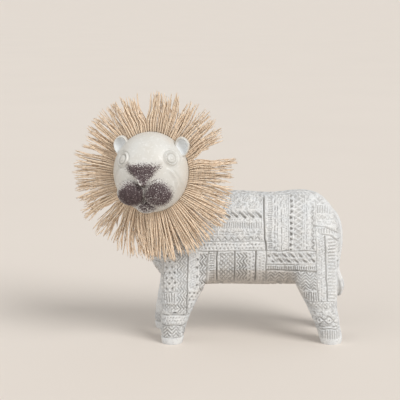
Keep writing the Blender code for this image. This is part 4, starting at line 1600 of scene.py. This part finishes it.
def make_stage(settings):
    deselect()
    bpy.ops.mesh.primitive_circle_add(vertices=96, radius=settings.floor_radius, fill_type="NGON")
    floor = bpy.context.active_object
    floor.name = "stage_floor"
    made, tree, shader = new_material("stage_floor", 0.1, 0.8)
    veil = ranged(tree, noise(tree, object_place(tree), 3.0), 0.3, 0.7)
    darker = [value * 0.985 for value in settings.floor_colour]
    feed(tree, shader["Base Color"], mixed(tree, veil, settings.floor_colour, darker))
    floor.data.materials.append(made)

    target = Vector(placed(VIEW_TARGET))
    camera = add_object("camera", bpy.data.cameras.new("camera"))
    back = Vector((0.0, -math.cos(VIEW_ELEVATION), math.sin(VIEW_ELEVATION)))
    camera.location = target + back * VIEW_DISTANCE * SHARE
    camera.rotation_euler = (math.pi / 2.0 - VIEW_ELEVATION, 0.0, 0.0)
    camera.data.sensor_fit = "HORIZONTAL"
    camera.data.angle = 2.0 * math.atan(FRAME_PIXELS / 2.0 / VIEW_DISTANCE)
    camera.data.clip_end = 200.0
    bpy.context.scene.camera = camera

    for name, way, spread, strength in LAMPS:
        lamp = bpy.data.lights.new(name, "SUN")
        lamp.angle = math.radians(spread)
        lamp.energy = settings.light_strength * strength
        lamp.color = settings.light_colour
        light = add_object(name, lamp)
        light.location = Vector(way) * 2.0
        light.rotation_euler = Vector(way).to_track_quat("Z", "Y").to_euler()
    world = bpy.data.worlds.new("studio")
    world.use_nodes = True
    sky = world.node_tree.nodes["Background"].inputs
    feed(world.node_tree, sky["Color"], settings.sky_colour)
    feed(world.node_tree, sky["Strength"], settings.sky_strength)
    bpy.context.scene.world = world
    bpy.context.scene.view_settings.view_transform = "Standard"


# Settings, operators and panel


def colour(name, description, value):
    return bpy.props.FloatVectorProperty(
        name=name, description=description, default=value, subtype="COLOR", min=0.0, max=1.0, size=3
    )


def number(name, description, value, low, high, unit="NONE"):
    return bpy.props.FloatProperty(
        name=name, description=description, default=value, min=low, max=high, unit=unit
    )


class FigurineLionSettings(bpy.types.PropertyGroup):
    carving_depth: number(
        "Carving depth", "How deep a bold groove is cut", 0.0018, 0.0, 0.003, "LENGTH"
    )
    body_colour: colour("Body", "Chalky resin of the body", (0.785, 0.79, 0.785))
    body_cool_colour: colour("Body, cooler", "Cooler patches of the body", (0.73, 0.75, 0.765))
    # Painted warm shade under the belly
    belly_shade_colour: colour("Underside", "Painted warm shade under the belly", (0.56, 0.50, 0.44))
    # Grey painted shade, partly grime, in the carving
    groove_shade_and_grime_colour: colour("Grooves", "Grey painted shade and grime in the carving", (0.42, 0.41, 0.395))
    head_colour: colour("Head", "Satin resin of the head", (0.66, 0.66, 0.635))
    head_warm_colour: colour("Head, warmer", "Warmer patches of the head", (0.63, 0.615, 0.575))
    fleck_colour: colour("Head, flecks", "Chalky flecks on the head", (0.80, 0.80, 0.79))
    # Grey painted shade in the creases of the head
    crease_shade_colour: colour("Creases", "Grey painted shade in the creases of the head", (0.46, 0.45, 0.41))
    # Tan painted shade on the right cheek
    cheek_shade_colour: colour("Cheek", "Tan painted shade on the right cheek", (0.68, 0.60, 0.50))
    ear_colour: colour("Ear hollow", "Bluish white inside the ears", (0.76, 0.78, 0.79))
    muzzle_colour: colour("Muzzle", "Dark wash of nose and muzzle", (0.038, 0.023, 0.025))
    muzzle_light_colour: colour("Muzzle, lighter", "Thin wash of the muzzle", (0.150, 0.105, 0.110))


class FigurineManeSettings(bpy.types.PropertyGroup):
    strands_per_layer: bpy.props.IntProperty(
        name="Strands in a layer",
        description="Strands round the head in each layer",
        default=124,
        min=12,
        max=200,
    )
    strand_thickness: number(
        "Strand thickness", "Thickness of the twine", 0.00136, 0.0005, 0.004, "LENGTH"
    )
    jute_light_colour: colour("Jute, light", "Light strands", (1.0, 0.82, 0.63))
    jute_dark_colour: colour("Jute, dark", "Dark strands", (0.85, 0.66, 0.49))
    jute_pale_colour: colour("Jute, pale", "Pale fibres", (0.97, 0.88, 0.74))
    # Painted shade between the plies and at the roots
    jute_shade_colour: colour("Jute, gaps", "Painted shade between the plies and at the roots", (0.47, 0.33, 0.215))


class FigurineStageSettings(bpy.types.PropertyGroup):
    floor_radius: number("Floor radius", "Radius of the floor", 60.0, 0.5, 100.0, "LENGTH")
    floor_colour: colour("Floor", "Plain pale floor", (0.77, 0.715, 0.66))
    sky_colour: colour("Surroundings", "Light from all round", (1.0, 0.985, 0.965))
    sky_strength: number("Surroundings strength", "Strength of the light from all round", 0.53, 0.0, 10.0)
    light_colour: colour("Lamps", "Colour of the lamps", (1.0, 0.985, 0.965))
    light_strength: number(
        "Lamp strength", "Strength of the lamps, of which each one has its share", 2.14, 0.0, 20.0
    )


class FIGURINE_OT_body(bpy.types.Operator):
    """Models the carved body with its legs, neck and tail"""

    bl_idname = "figurine.body"
    bl_label = "Carved body"

    def execute(self, context):
        make_body(context.scene.figurine_lion)
        return {"FINISHED"}


class FIGURINE_OT_head(bpy.types.Operator):
    """Models the smooth head with its ears, eyes, nose and muzzle"""

    bl_idname = "figurine.head"
    bl_label = "Smooth head"

    def execute(self, context):
        make_head(context.scene.figurine_lion)
        return {"FINISHED"}


class FIGURINE_OT_mane(bpy.types.Operator):
    """Models the sunburst of twine strands"""

    bl_idname = "figurine.mane"
    bl_label = "Mane"

    def execute(self, context):
        make_mane(context.scene.figurine_mane)
        return {"FINISHED"}


class FIGURINE_OT_binding(bpy.types.Operator):
    """Models the turns of twine that hold the mane behind the head"""

    bl_idname = "figurine.binding"
    bl_label = "Mane binding"

    def execute(self, context):
        make_binding(context.scene.figurine_mane)
        return {"FINISHED"}


class FIGURINE_OT_stage(bpy.types.Operator):
    """Adds the floor, the lights and the camera"""

    bl_idname = "figurine.stage"
    bl_label = "Floor, lights and camera"

    def execute(self, context):
        make_stage(context.scene.figurine_stage)
        return {"FINISHED"}


SETTINGS = {
    "figurine_lion": FigurineLionSettings,
    "figurine_mane": FigurineManeSettings,
    "figurine_stage": FigurineStageSettings,
}
OPERATORS = (
    FIGURINE_OT_body,
    FIGURINE_OT_head,
    FIGURINE_OT_mane,
    FIGURINE_OT_binding,
    FIGURINE_OT_stage,
)


class FIGURINE_PT_panel(bpy.types.Panel):
    bl_idname = "FIGURINE_PT_panel"
    bl_label = "Lion figurine"
    bl_space_type = "VIEW_3D"
    bl_region_type = "UI"
    bl_category = "Figurine"

    def draw(self, context):
        for operator in OPERATORS:
            self.layout.operator(operator.bl_idname)
        for group_name, group in SETTINGS.items():
            for name in group.__annotations__:
                self.layout.prop(getattr(context.scene, group_name), name)


CLASSES = (*SETTINGS.values(), *OPERATORS, FIGURINE_PT_panel)


def register():
    for cls in CLASSES:
        bpy.utils.register_class(cls)
    for name, group in SETTINGS.items():
        setattr(bpy.types.Scene, name, bpy.props.PointerProperty(type=group))


def unregister():
    for name in SETTINGS:
        delattr(bpy.types.Scene, name)
    for cls in reversed(CLASSES):
        bpy.utils.unregister_class(cls)


def main():
    register()
    bpy.ops.figurine.body()
    bpy.ops.figurine.head()
    bpy.ops.figurine.mane()
    bpy.ops.figurine.binding()
    bpy.ops.figurine.stage()


if __name__ == "__main__":
    main()
